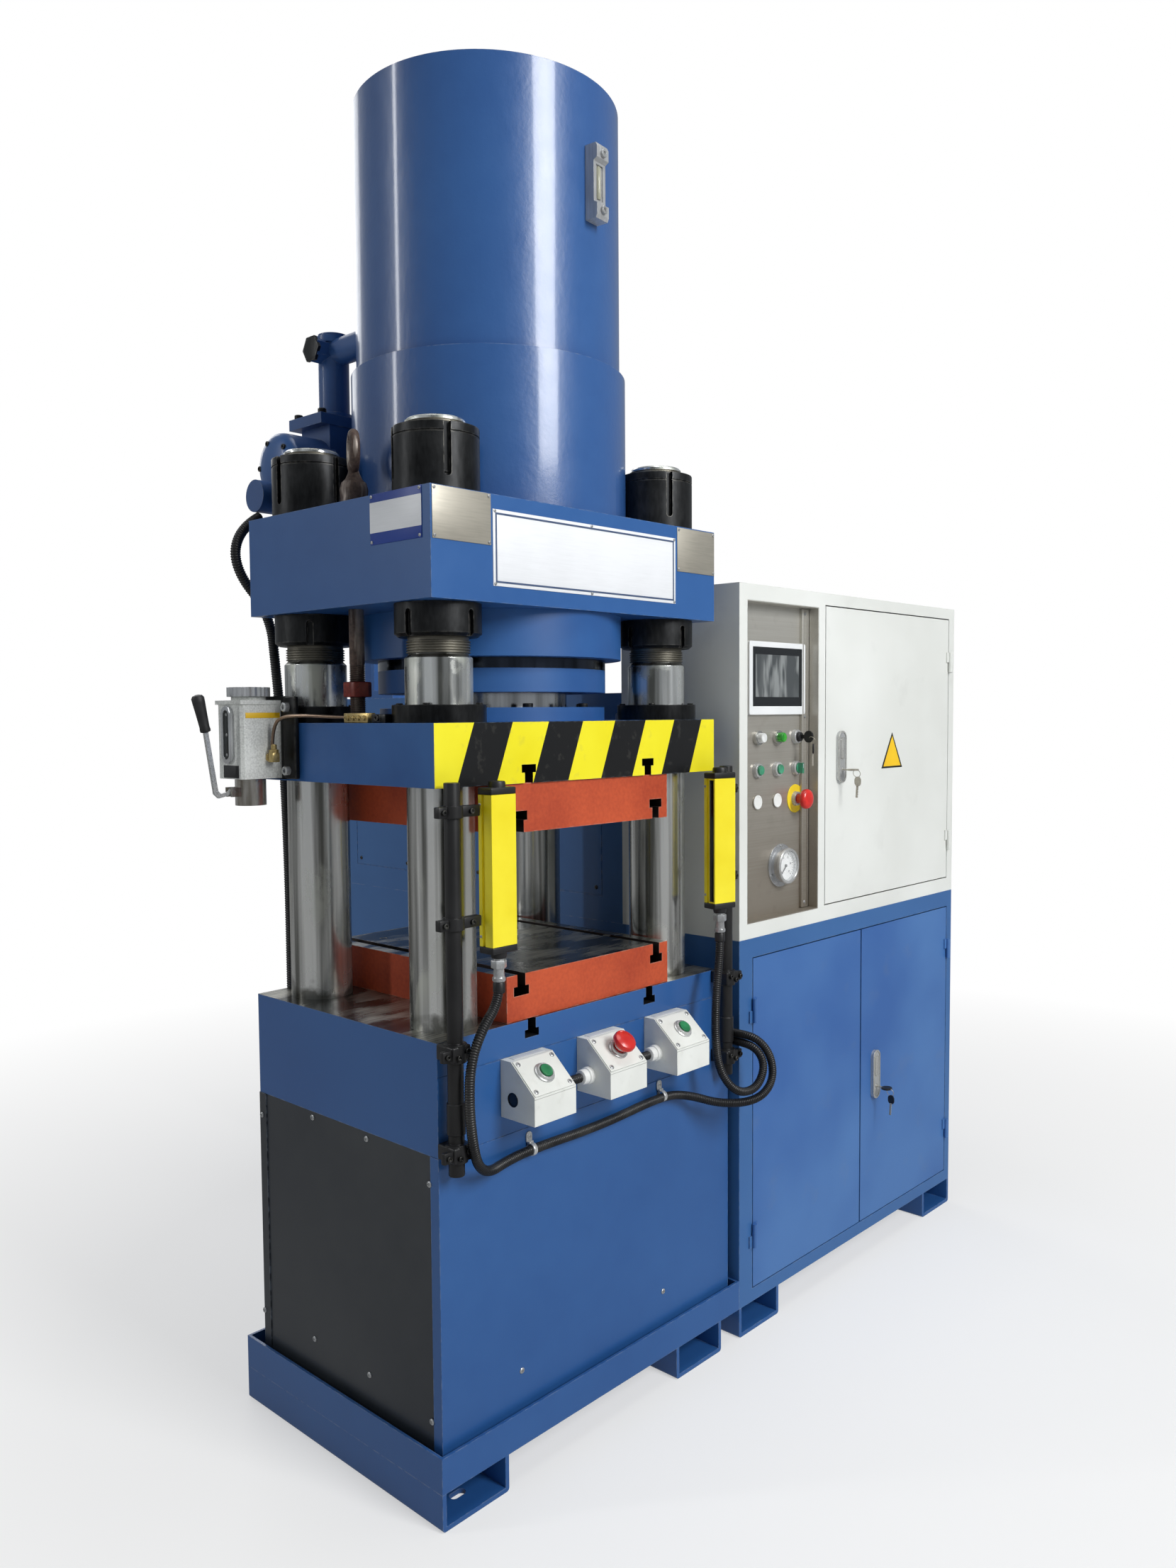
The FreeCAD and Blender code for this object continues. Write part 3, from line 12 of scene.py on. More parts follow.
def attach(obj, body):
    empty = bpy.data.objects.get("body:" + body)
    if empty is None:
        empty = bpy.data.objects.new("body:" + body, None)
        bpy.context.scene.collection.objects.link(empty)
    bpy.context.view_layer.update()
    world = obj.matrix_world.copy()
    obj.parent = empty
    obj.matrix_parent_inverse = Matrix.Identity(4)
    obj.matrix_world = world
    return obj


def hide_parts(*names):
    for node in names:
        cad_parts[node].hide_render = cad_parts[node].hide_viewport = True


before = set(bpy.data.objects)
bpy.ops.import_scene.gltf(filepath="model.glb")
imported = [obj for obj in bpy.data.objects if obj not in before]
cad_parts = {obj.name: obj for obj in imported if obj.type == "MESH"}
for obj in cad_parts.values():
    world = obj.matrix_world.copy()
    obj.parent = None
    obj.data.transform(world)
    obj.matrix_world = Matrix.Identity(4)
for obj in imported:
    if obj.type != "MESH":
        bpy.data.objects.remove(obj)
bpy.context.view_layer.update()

# Camera: it stands low at the front left, turned towards the columns, as in the photograph. Its
# place, angles and focal length follow from the press's straight edges.

SENSOR, PICTURE_HEIGHT, FOCAL_PIXELS = 36, 2212, 1684.97
YAW, PITCH, ROLL = math.radians(47.188), math.radians(-3.361), math.radians(-0.4045)

camera_data = bpy.data.cameras.new("camera")
camera_data.sensor_width = SENSOR
camera_data.lens = SENSOR * FOCAL_PIXELS / PICTURE_HEIGHT
camera = bpy.data.objects.new("camera", camera_data)
bpy.context.scene.collection.objects.link(camera)
bpy.context.scene.camera = camera
camera.matrix_world = (Matrix.Translation((-1.98213, -1.64283, 1.25609)) @ Matrix.Rotation(-YAW, 4, "Z")
                       @ Matrix.Rotation(math.pi / 2 + PITCH, 4, "X") @ Matrix.Rotation(ROLL, 4, "Z"))


# Studio: a white paper floor, a tall lamp in front of the press, a narrow one behind at the left,
# and a dim surround that polished metal mirrors.

class Value:
    """A socket of a finish. Sums, differences and products of it add Math nodes."""

    def __init__(self, tree, socket):
        self.tree = tree
        self.socket = socket

    def node(self, kind, settings=None, inputs=None, output=0):
        """Add a node: its settings first, then the values or links of its sockets."""
        made = self.tree.nodes.new("ShaderNode" + kind)
        for name, setting in (settings or {}).items():
            setattr(made, name, setting)
        for name, given in (inputs or {}).items():
            if isinstance(given, Value):
                self.tree.links.new(given.socket, made.inputs[name])
            else:
                made.inputs[name].default_value = given
        return Value(self.tree, made.outputs[output])

    def math(self, operation, *values):
        return self.node("Math", {"operation": operation}, dict(enumerate(values)))

    def __add__(self, other):
        return self.math("ADD", self, other)

    def __radd__(self, other):
        return self.math("ADD", other, self)

    def __sub__(self, other):
        return self.math("SUBTRACT", self, other)

    def __rsub__(self, other):
        return self.math("SUBTRACT", other, self)

    def __mul__(self, other):
        return self.math("MULTIPLY", self, other)

    def __rmul__(self, other):
        return self.math("MULTIPLY", other, self)

    def __neg__(self):
        return 0 - self

    def __abs__(self):
        return self.math("ABSOLUTE", self)

    x, y, z = (property(lambda self, number=number: self.node("SeparateXYZ", None, {0: self}, number))
               for number in range(3))

    def fade(self, start, end):
        """0 up to start, 1 from end on, and a straight rise between them."""
        return self.node("MapRange", None, {"Value": self, "From Min": start, "From Max": end})

    def between(self, low, high, soft=0.0002):
        """1 between low and high, 0 outside."""
        return self.fade(low - soft, low) * (1 - self.fade(high, high + soft))

    def blend(self, low, high):
        """A colour that goes from low to high with this value."""
        ends = [tone if isinstance(tone, Value) else shade(*tone) for tone in (low, high)]
        return self.node("Mix", {"data_type": "RGBA"}, {0: self, 6: ends[0], 7: ends[1]}, 2)

    def tint(self, low, high, start=0.3, end=0.7):
        """A colour that goes from low to high while this value rises from start to end."""
        return self.fade(start, end).blend(low, high)


def shade(red, green, blue, share=1.0):
    """A colour given as it looks on a screen, from 0 to 255. A share below 1 darkens it."""
    parts = [part / 255 for part in (red, green, blue)]
    return tuple(share * (((part + 0.055) / 1.055) ** 2.4 if part > 0.04 else part / 12.92) for part in parts) + (1,)


def path(tree, ray):
    """1 for the rays of one kind, such as camera rays."""
    return Value(tree, tree.nodes.new("ShaderNodeLightPath").outputs[f"Is {ray} Ray"])


def choose(tree, share, plain, shown):
    """Mix two shaders by a value."""
    mixed = tree.nodes.new("ShaderNodeMixShader")
    for number, socket in enumerate((share.socket, plain, shown)):
        tree.links.new(socket, mixed.inputs[number])
    return mixed.outputs[0]


bpy.context.scene.view_settings.view_transform = "Standard"
world = bpy.data.worlds.new("studio")
bpy.context.scene.world = world
world.use_nodes = True
sky = world.node_tree
tones = []
for tone, strength in (((0.86, 0.93, 1, 1), 0.16), ((0.9, 0.95, 1, 1), 0.3), ((1, 1, 1, 1), 1.0)):
    background = sky.nodes.new("ShaderNodeBackground")
    background.inputs["Color"].default_value = tone
    background.inputs["Strength"].default_value = strength
    tones.append(background.outputs[0])
mirrored = choose(sky, path(sky, "Glossy"), tones[0], tones[1])
seen = path(sky, "Camera") + path(sky, "Transmission")
sky.links.new(choose(sky, seen, mirrored, tones[2]), sky.nodes["World Output"].inputs["Surface"])

FLOOR_WHITE, WHITE_FROM, WHITE_TO = 0.5, 1.2, 3.2
floor_finish = bpy.data.materials.new("floor")
floor_finish.use_nodes = True
floor_tree = floor_finish.node_tree
floor_shader = floor_tree.nodes["Principled BSDF"]
floor_shader.inputs["Base Color"].default_value = shade(243, 243, 242)
floor_shader.inputs["Roughness"].default_value = 0.7
paper = floor_tree.nodes.new("ShaderNodeEmission")
dim = floor_tree.nodes.new("ShaderNodeEmission")
dim.inputs["Strength"].default_value = 0.26
ground = Value(floor_tree, floor_tree.nodes.new("ShaderNodeTexCoord").outputs["Object"])
reach = ground.node("VectorMath", {"operation": "LENGTH"}, {0: ground}, 1)
bright = (FLOOR_WHITE + (1 - FLOOR_WHITE) * reach.fade(WHITE_FROM, WHITE_TO)) * path(floor_tree, "Camera")
lit_floor = choose(floor_tree, path(floor_tree, "Glossy"), floor_shader.outputs[0], dim.outputs[0])
floor_tree.links.new(choose(floor_tree, bright, lit_floor, paper.outputs[0]),
                     floor_tree.nodes["Material Output"].inputs["Surface"])
bpy.ops.object.select_all(action="DESELECT")
bpy.ops.mesh.primitive_plane_add(size=60, location=(0, 0, -0.0005))
floor = bpy.context.object
floor.name = "floor"
floor.data.materials.append(floor_finish)
for lamp_name, lamp_place, lamp_aim, lamp_width, lamp_height, power in (
        ("key_lamp", (0.0, -4.9, 3.9), (-0.2, 0, 1.1), 1.6, 2.6, 240),
        ("left_lamp", (-3.8, 2.1, 3.0), (-0.5, 0, 1.8), 0.2, 2.6, 30),
        ("back_lamp", (1.0, 4.5, 4.0), (0, 0, 1.0), 3.0, 3.0, 60),
        ("top_lamp", (0.0, -0.6, 5.4), (0, 0, 0), 2.5, 2.5, 60)):
    lamp_data = bpy.data.lights.new(lamp_name, "AREA")
    lamp_data.shape = "RECTANGLE"
    lamp_data.size = lamp_width
    lamp_data.size_y = lamp_height
    lamp_data.energy = power
    lamp = bpy.data.objects.new(lamp_name, lamp_data)
    bpy.context.scene.collection.objects.link(lamp)
    away = Vector(lamp_place) - Vector(lamp_aim)
    lamp.matrix_world = Matrix.Translation(lamp_place) @ away.to_track_quat("Z", "Y").to_matrix().to_4x4()


# Blue steelwork: sprayed gloss enamel over plate and castings. It is cloudy where the coat is thin,
# lies over a fine orange peel and is rubbed paler along sharp edges.

def new_finish(name, **plain):
    """A material whose plain sockets are set, and the coordinates of the piece that wears it."""
    material = bpy.data.materials.new(name)
    material.use_nodes = True
    tree = material.node_tree
    for socket, given in plain.items():
        tree.nodes["Principled BSDF"].inputs[socket.replace("_", " ")].default_value = given
    return material, Value(tree, tree.nodes.new("ShaderNodeTexCoord").outputs["Object"])


def noise(place, scale, detail=2.0, stretch=(1, 1, 1)):
    mapped = place.node("Mapping", None, {"Vector": place, "Scale": stretch})
    return place.node("TexNoise", None, {"Vector": mapped, "Scale": scale, "Detail": detail})


def facing(place):
    """The way that the surface looks."""
    return place.node("NewGeometry", output=1)


def peel(place):
    """Fine orange peel of sprayed paint."""
    return noise(place, 420.0, 1.0)


def worn_edge(place, colour, bare, share=0.55, width=0.003, scale=70.0, detail=3.0, start=0.42, end=0.62):
    """A colour that is rubbed to a bare tone here and there along sharp edges."""
    soft = place.node("Bevel", {"samples": 4}, {"Radius": width})
    flat = place.node("NewGeometry", output=3)
    lean = 1 - place.node("VectorMath", {"operation": "DOT_PRODUCT"}, {0: soft, 1: flat}, 1)
    rubbed = lean.fade(0.02, 0.2) * noise(place, scale, detail).fade(start, end)
    return (share * rubbed).blend(colour, bare)


def wear(material, colour=None, roughness=None, metallic=None, height=None, depth=0.0002, rounding=0.0009):
    """Link what varies over a surface. Edges get a small rounding, and height a bump of that depth."""
    tree = material.node_tree
    shader = tree.nodes["Principled BSDF"]
    for socket, given in (("Base Color", colour), ("Roughness", roughness), ("Metallic", metallic)):
        if isinstance(given, Value):
            tree.links.new(given.socket, shader.inputs[socket])
        elif given is not None:
            shader.inputs[socket].default_value = given
    anchor = Value(tree, shader.outputs[0])
    normal = anchor.node("Bevel", {"samples": 4}, {"Radius": rounding})
    if height is not None:
        normal = anchor.node("Bump", None, {"Height": height, "Distance": depth, "Normal": normal})
    tree.links.new(normal.socket, shader.inputs["Normal"])
    return material


def enamel(name, deep, pale, gloss=0.34, rough_peel=1.0, coat=0.25, wave=0.0):
    """Sprayed enamel that clouds between two tones. A thick coat sags in waves."""
    material, place = new_finish(name, Coat_Weight=coat, Coat_Roughness=0.1)
    film = noise(place, 24.0, 3.0)
    colour = worn_edge(place, (0.8 * noise(place, 1.6, 3.0) + 0.2 * film).tint(deep, pale), RUBBED_BLUE)
    sag = noise(place, 26.0, 4.0, (1, 1, 0.45)) + 0.28 * noise(place, 120.0, 2.0)
    return wear(material, colour, gloss + 0.14 * film, None, peel(place) + wave * sag, 0.00006 * rough_peel)


def dress(material, *names):
    """Give CAD nodes a finish in place of their plain one."""
    for name in names:
        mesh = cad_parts[name].data
        mesh.materials.clear()
        mesh.materials.append(material)


PRESS_BLUES = (38, 85, 146), (48, 98, 160)
RUBBED_BLUE = (148.88, 161.73, 178.86)
press_blue = enamel("press_blue", *PRESS_BLUES, gloss=0.3)
dress(press_blue, "base_tray", "foot_channels", "skirt_front", "crown")
dress(enamel("tank_blue", (36, 78, 138), (46, 92, 152), gloss=0.26, coat=0.5, wave=11.0), "oil_tank")
dress(enamel("cabinet_blue", (50, 98, 156), (62, 110, 168), gloss=0.38), "cabinet_lower", "power_enclosure")


# Bed: a machined block under the same enamel. Its top is ground and smeared with oil, and the
# inner faces of the T-slots are painted near-black as painted shade.

# Painted shade: the near-black that stands for the inside of the T-slots.
SLOT_SHADE = (14, 14, 15)


def in_slots(place, spacing, low, high, half=0.0162, middle=-0.478):
    """1 on the inner faces of two T-slots that run front to back, between two heights: where painted shade goes."""
    off = abs(place.x - middle) - spacing / 2
    near = 1 - abs(off).fade(half, half + 0.0002)
    return near * place.z.between(low, high) * (1 - abs(facing(place).y).fade(0.5, 0.6))


def oily_steel(place, bright=(172, 170, 160), dull=(112, 110, 102), oil_tone=(44, 42, 36)):
    """Ground steel under streaks of dark oil: its colour and its roughness."""
    oil = noise(place, 7.0, 5.0, (1.0, 2.6, 1)).fade(0.4, 0.56)
    mark = noise(place, 240.0, 3.0, (0.06, 1, 1))
    return (0.85 * oil).blend(mark.tint(dull, bright, 0.35, 0.6), oil_tone), 0.3 - 0.16 * oil + 0.12 * mark


def bed_finish():
    material, place = new_finish("bed_paint", Coat_Weight=0.25, Coat_Roughness=0.12)
    cloud = noise(place, 1.6, 3.0)
    top = facing(place).z.fade(0.7, 0.9) * place.z.fade(0.7574, 0.7577)
    slot = in_slots(place, 0.3, 0.7279, 0.7576)
    steel, smooth = oily_steel(place)
    painted = worn_edge(place, cloud.tint(*PRESS_BLUES), (150, 156, 160))
    rough = (1 - top) * (0.3 + 0.1 * cloud) + top * smooth + 0.2 * slot
    # The slots' inner faces take the painted shade.
    return wear(material, slot.blend(top.blend(painted, steel), SLOT_SHADE), rough, 0.9 * top, peel(place), 0.00006)


dress(bed_finish(), "bed")


# Skirt round the bed: folded sheet with pan-head screws. The side sheets are painted a darker,
# greyer tone, partly their own paint and partly painted shade, and their paler clouds are partly a
# painted sheen. The heads are zinc plated.

MM = 0.001
TURN = {name: Matrix.Rotation(math.radians(angle), 4, letter) for name, angle, letter in (
    ("X", 90, "Y"), ("-X", -90, "Y"), ("Y", -90, "X"), ("-Y", 90, "X"), ("Z", 0, "Z"))}


def spot(x, y, z, turn="Z"):
    """Where a piece drawn at the origin along +Z goes, in millimetres, and which way it looks."""
    return Matrix.Translation((x * MM, y * MM, z * MM)) @ (TURN[turn] if isinstance(turn, str) else turn)


def grid(xs, ys, zs, turn="Z"):
    """Places wherever these distances meet. Each is one number or several."""
    xs, ys, zs = [given if isinstance(given, tuple) else (given,) for given in (xs, ys, zs)]
    return [spot(x, y, z, turn) for x in xs for y in ys for z in zs]


def turned(degrees, letter="Z"):
    return Matrix.Rotation(math.radians(degrees), 4, letter)


def pick(*pieces):
    """Select these pieces alone. The first is the active one."""
    bpy.ops.object.select_all(action="DESELECT")
    for piece in pieces:
        piece.select_set(True)
        bpy.context.view_layer.objects.active = pieces[0]


def mode(name):
    bpy.ops.object.mode_set(mode=name)


def edit():
    """Edit mode with everything selected."""
    mode("EDIT")
    bpy.ops.mesh.select_all(action="SELECT")


def settle(turn=True, size=True):
    """Put the place, turn and size of what is selected into its mesh."""
    bpy.ops.object.transform_apply(location=True, rotation=turn, scale=size)


def pull(height):
    """Extrude what is selected along Z, in millimetres."""
    bpy.ops.mesh.extrude_region_move(TRANSFORM_OT_translate={"value": (0, 0, height * MM)})


def bevel(width, steps):
    """Round all edges of the active piece."""
    edit()
    bpy.ops.mesh.bevel(offset=width * MM, segments=steps, affect="EDGES")
    mode("OBJECT")


def block(low, high, rounding=1.0, steps=2):
    """A block between two corners in millimetres with its edges rounded."""
    pick()
    bpy.ops.mesh.primitive_cube_add(size=1, location=[(a + b) / 2 * MM for a, b in zip(low, high)])
    piece = bpy.context.object
    piece.scale = [(b - a) * MM for a, b in zip(low, high)]
    settle(turn=False)
    if rounding:
        bevel(rounding, steps)
    return piece


def lathe(profile, sides=48, hollow=False):
    """Extrude a circle along a profile of radius and height, in millimetres. A hollow one closes on itself."""
    pick()
    radius, height = profile[0]
    bpy.ops.mesh.primitive_circle_add(vertices=sides, radius=radius * MM, location=(0, 0, height * MM),
                                      fill_type="NOTHING" if hollow else "NGON")
    piece = bpy.context.object
    settle(turn=False, size=False)
    edit()
    outline = profile + profile[:1] if hollow else profile
    for (r0, z0), (r1, z1) in zip(outline, outline[1:]):
        pull(z1 - z0)
        bpy.ops.transform.resize(value=(r1 / r0, r1 / r0, 1), center_override=(0, 0, z1 * MM))
    bpy.ops.mesh.select_all(action="SELECT")
    bpy.ops.mesh.remove_doubles(threshold=0.000002)
    bpy.ops.mesh.normals_make_consistent(inside=False)
    mode("OBJECT")
    return piece


def together(*made):
    """Join pieces into one object at the origin."""
    pick(*made)
    if len(made) > 1:
        bpy.ops.object.join()
    settle()
    return made[0]


def copies(pattern, places):
    """Copies of a piece, each with its own mesh, joined into one; the pattern itself goes."""
    made = []
    for place in places:
        copy = pattern.copy()
        copy.data = pattern.data.copy()
        bpy.context.scene.collection.objects.link(copy)
        copy.matrix_world = place @ pattern.matrix_world
        made.append(copy)
    bpy.data.objects.remove(pattern)
    return together(*made)


def carve(piece, *tools):
    """Cut tools out of a piece."""
    for tool in tools:
        modifier = piece.modifiers.new("cut", "BOOLEAN")
        modifier.operation = "DIFFERENCE"
        modifier.object = tool
        modifier.solver = "EXACT"
        pick(piece)
        bpy.ops.object.modifier_apply(modifier="cut")
        bpy.data.objects.remove(tool)
    return piece


def put(piece, place):
    """A piece moved to its place."""
    piece.matrix_world = place
    return piece


def fix(piece, name, material, at=None, body="press_frame", smooth=35, stands_for=()):
    """Finish a piece at its place, or copies of it at several, name it and let it ride on its body."""
    if isinstance(at, list):
        piece = copies(piece, at)
    elif at is not None:
        put(piece, at)
    together(piece)
    piece.name = name
    if smooth:
        bpy.ops.object.shade_smooth_by_angle(angle=math.radians(smooth))
    piece.data.materials.clear()
    piece.data.materials.append(material)
    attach(piece, body)
    if stands_for:
        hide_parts(*stands_for)


def plain_metal(name, tone, roughness, scratch=0.12, stretch=(1, 1, 1), metal=1.0):
    """Bare metal: grain in one direction and patches that reflect less sharply."""
    material, place = new_finish(name)
    grit = noise(place, 300.0, 2.0, stretch)
    colour = (0.5 * noise(place, 14.0, 3.0) + 0.3 * grit).tint((*tone, 0.62), tone, 0.3, 0.55)
    return wear(material, colour, roughness + scratch * grit, metal, grit, 0.00004)


def pan_head(radius=5.0, height=2.6):
    """Pan head with a cross recess."""
    foot, arm, width = height * 0.45, radius * 0.62, radius * 0.13
    head = lathe([(radius, -0.6), (radius, foot), (radius * 0.8, height * 0.85), (radius * 0.45, height)], 20)
    return carve(head, *[block((-a, -b, foot), (a, b, height + 2), 0) for a, b in ((arm, width), (width, arm))])


def cap_screw(radius=5.0, height=6.0):
    """Cylinder head with a hexagon socket."""
    head = lathe([(radius, -0.5), (radius, height * 0.9), (radius * 0.88, height)], 24)
    pick()
    bpy.ops.mesh.primitive_cylinder_add(vertices=6, radius=radius * 0.52 * MM, depth=height * MM,
                                        location=(0, 0, height * 1.05 * MM))
    return carve(head, bpy.context.object)


zinc = plain_metal("zinc_plate", (208, 210, 211), 0.26, metal=0.6)
# Painted shade and sheen: the side sheets' dark grey tone stands partly for the shade they lie in, and the paler clouds
# partly for a sheen.
dress(enamel("skirt_paint_and_shade", (31, 38, 48), (62, 66, 69)), "skirt_sheets")
SKIRT_LEFT, SKIRT_FRONT = -831, -260
side_screws = ((231, 538), (75, 568), (-77, 567), (-238, 535), (236, 174), (82, 174), (-74, 169), (-236, 156))
skirt_spots = [spot(SKIRT_LEFT + 2 * (abs(y) < 200), y, z, "-X") for y, z in side_screws]
skirt_spots += [spot(x, SKIRT_FRONT, z, "-Y") for x, z in ((-660, 176), (-293, 175))]
fix(pan_head(), "skirt_screws", zinc, skirt_spots)


# Tie columns: ground and polished bar with turning marks, dried oil near the shoulder and rubbing
# streaks. A square thread shows between the shoulder and the lower nut.

COLUMN_X, COLUMN_Y = (-748, -208), (-179, 157)
SHOULDER, NUT_FOOT = 1345, 1378


def column_finish():
    material, place = new_finish("column_steel")
    streak = noise(place, 42.0, 3.0, (1, 1, 0.02))
    ring = noise(place, 900.0, 1.0, (0.02, 0.02, 1))
    dried = (noise(place, 26.0, 5.0) * place.z.fade(1.20, 1.345)).fade(0.45, 0.6)
    foot = noise(place, 22.0, 5.0) * (1 - place.z.fade(0.76, 0.86))
    wiped = noise(place, 30.0, 6.0, (1, 1, 0.3)).fade(0.5, 0.6) * noise(place, 5.0, 2.0).fade(0.46, 0.6)
    grain = 0.75 * streak + 0.25 * noise(place, 9.0, 4.0, (1, 1, 0.12))
    neck = place.z.between(1.3465, 1.3785)
    tone = grain.tint((104, 105, 101), (246, 248, 246), 0.4, 0.58)
    for share, mark in ((0.5 * wiped, (226, 228, 214)), (0.7 * dried, (196, 200, 190)),
                        (0.75 * foot.fade(0.42, 0.56), (66, 64, 54)), (0.85 * neck, (70, 68, 62))):
        tone = share.blend(tone, mark)
    rough = 0.13 + 0.12 * streak + 0.3 * dried + 0.2 * foot + 0.24 * wiped
    return wear(material, tone, rough, 0.9, 0.3 * ring + 0.4 * streak + 0.8 * wiped, 0.00007, 0.0015)


dress(column_finish(), *[f"column_{end}_{side}" for end in ("front", "rear") for side in ("left", "right")])
thread = [(46.5, SHOULDER + 7)]
while thread[-1][1] < NUT_FOOT - 5:
    foot = thread[-1][1]
    thread += [(48.4, foot + 0.6), (50.8, foot + 1.4), (50.8, foot + 2.8), (48.4, foot + 3.6), (48.4, foot + 4.2)]
thread += [(48.4, NUT_FOOT), (46.5, NUT_FOOT)]
thread_steel = plain_metal("thread_steel", (150, 146, 134), 0.34, 0.3)
column_spots = [spot(x, y, 0) for y in COLUMN_Y for x in COLUMN_X]
fix(lathe(thread, 72, hollow=True), "column_threads", thread_steel, column_spots, smooth=30)


# Column nuts: turned steel, blackened, with four wrench slots, a locking groove near the top and a
# grub screw. The black is rubbed to steel along the edges.

NUT_RADIUS, THREAD_RADIUS, SLOT_WIDTH, SLOT_DEPTH = 69, 48.1, 11, 8
CROWN_TOP, CROWN_BASE = 1599, 1431
NUT_TOP = CROWN_TOP + 103


def blackened(name, dark, worn, rough):
    material, place = new_finish(name)
    bloom = noise(place, 18.0, 5.0)
    fine = noise(place, 160.0, 2.0, (1, 1, 0.3))
    black = (0.6 * bloom + 0.4 * fine).tint(dark, [part + 26 for part in dark], 0.35, 0.65)
    colour = worn_edge(place, black, worn, 0.8, 0.0035, 90.0, 3.0, 0.38, 0.6)
    return wear(material, colour, rough + 0.2 * bloom, 0.75, fine, 0.00004)


def nut(profile, slot_low, slot_high, round_end, screw_height):
    """A slotted nut: its ring, four wrench slots that end round, and the grub screw's hole."""
    inner, half = NUT_RADIUS - SLOT_DEPTH, SLOT_WIDTH / 2
    tools = []
    for number in range(4):
        straight = block((inner, -half, slot_low), (NUT_RADIUS + 5, half, slot_high), 0)
        end = put(lathe([(half, inner + 0.02), (half, NUT_RADIUS + 5.1)], 24), spot(0, 0, round_end, "X"))
        tools += [put(tool, turned(90 * number) @ tool.matrix_world) for tool in (straight, end)]
    hole = put(lathe([(3.4, NUT_RADIUS - 7), (3.4, NUT_RADIUS + 3)], 20), turned(40) @ spot(0, 0, screw_height, "X"))
    return carve(lathe(profile, 120, hollow=True), *tools, hole)


def nut_spots(*turns):
    """The four columns' axes, from the left to the right and front to back, each nut at its own turn."""
    return [spot(x, y, 0, turned(turn)) for (x, y), turn in zip([(x, y) for y in COLUMN_Y for x in COLUMN_X], turns)]


nut_black = blackened("nut_black", (24, 25, 26), (128, 126, 120), 0.3)
upper_profile = [(THREAD_RADIUS, CROWN_TOP), (68.2, CROWN_TOP), (69, CROWN_TOP + 0.8), (69, NUT_TOP - 16),
                 (67.4, NUT_TOP - 15.4), (67.4, NUT_TOP - 14.2), (69, NUT_TOP - 13.6), (69, NUT_TOP - 1.8),
                 (68.5, NUT_TOP - 0.5), (67.2, NUT_TOP), (THREAD_RADIUS, NUT_TOP)]
lower_profile = [(THREAD_RADIUS, NUT_FOOT), (63, NUT_FOOT), (69, NUT_FOOT + 5), (69, CROWN_BASE - 0.6),
                 (68.4, CROWN_BASE), (THREAD_RADIUS, CROWN_BASE)]
upper_nut = nut(upper_profile, CROWN_TOP + 26, NUT_TOP + 1, CROWN_TOP + 26, CROWN_TOP + 52)
lower_nut = nut(lower_profile, NUT_FOOT - 1, CROWN_BASE - 17, CROWN_BASE - 17, CROWN_BASE - 9)
fix(together(copies(upper_nut, nut_spots(65, 62, 2, 28)), copies(lower_nut, nut_spots(8, 86, 48, 28))),
    "column_nut_set", nut_black, smooth=30, stands_for=["column_nuts"])
collar = [(47.0, 0.2), (50.2, 0.2), (50.2, 1.6), (48.6, 2.2), (48.6, 2.9), (50, 3.5), (50, 4.9), (48.6, 5.4),
          (48.6, 6.1), (49.6, 6.7), (49.2, 7.5), (47.0, 7.5)]
fix(lathe([(radius, NUT_TOP + rise) for radius, rise in collar], 96, hollow=True), "column_end_rings", thread_steel,
    column_spots, smooth=25)


# Crown plates: one blue-edged plate on the left end, a steel plate, a wide white plate and a small
# steel plate on the front, all bare and held by small screws.

CROWN_LEFT, CROWN_FRONT = -827, -258
SIDE_NEAR, SIDE_FAR = -239, -114


def plate_finish(name, tone, rough, metal=0.0):
    material, place = new_finish(name)
    film = noise(place, 8.0, 4.0)
    brush = noise(place, 500.0, 2.0, (0.05, 0.05, 1))
    colour = (0.6 * film + 0.4 * brush).tint((*tone, 0.8 if metal else 0.94), tone, 0.35, 0.6)
    return wear(material, colour, rough + 0.15 * film, metal, brush, 0.00002)


plate_steel = plate_finish("plate_steel", (186, 181, 168), 0.36, 0.55)
plate_white = plate_finish("plate_white", (238, 240, 243), 0.3)
plate_blue = plate_finish("plate_blue", (24, 62, 150), 0.3)
plate_line = plate_finish("plate_line", (70, 88, 120), 0.4)
for name, x0, x1, z0, z1, finish in (
        ("left", -824, -706, 1519, 1598, plate_steel), ("wide", -702, -248, 1457, 1576, plate_white),
        ("right", -242, -130, 1517, 1597, plate_steel)):
    plate = block((x0, CROWN_FRONT - 1.2, z0), (x1, CROWN_FRONT + 0.4, z1), 0.4)
    fix(plate, f"crown_plate_{name}", finish)
border = block((-697, CROWN_FRONT - 1.7, 1462), (-253, CROWN_FRONT - 0.9, 1571), 0.1, 1)
field = block((-694, CROWN_FRONT - 3, 1465), (-256, CROWN_FRONT + 1, 1568), 0)
fix(carve(border, field), "crown_plate_border", plate_line)
for name, proud, sunk, z0, z1, rounding, finish in (("plate", 1.2, 0.4, 1521, 1599, 0.4, plate_blue),
                                                    ("field", 1.8, -0.8, 1539, 1586, 0.3, plate_white)):
    plate = block((CROWN_LEFT - proud, SIDE_NEAR, z0), (CROWN_LEFT + sunk, SIDE_FAR, z1), rounding)
    fix(plate, f"crown_side_{name}", finish)
plate_spots = []
for across, up in (((-820, -710), (1523, 1594)), ((-698, -475, -252), (1460, 1573)), ((-238, -134), (1521, 1593))):
    plate_spots += grid(across, CROWN_FRONT - 1.2, up, "-Y")
plate_spots += grid(CROWN_LEFT - 1.2, (SIDE_NEAR + 4, SIDE_FAR - 4), (1525, 1595), "-X")
fix(pan_head(2.6, 1.8), "plate_screws", zinc, plate_spots)


# Main cylinder and ram: a painted flange and gland with a polished band between them, a chromed
# plunger and its painted foot flange with sunk screws.

PRESS_X, PRESS_Y = -478, -11


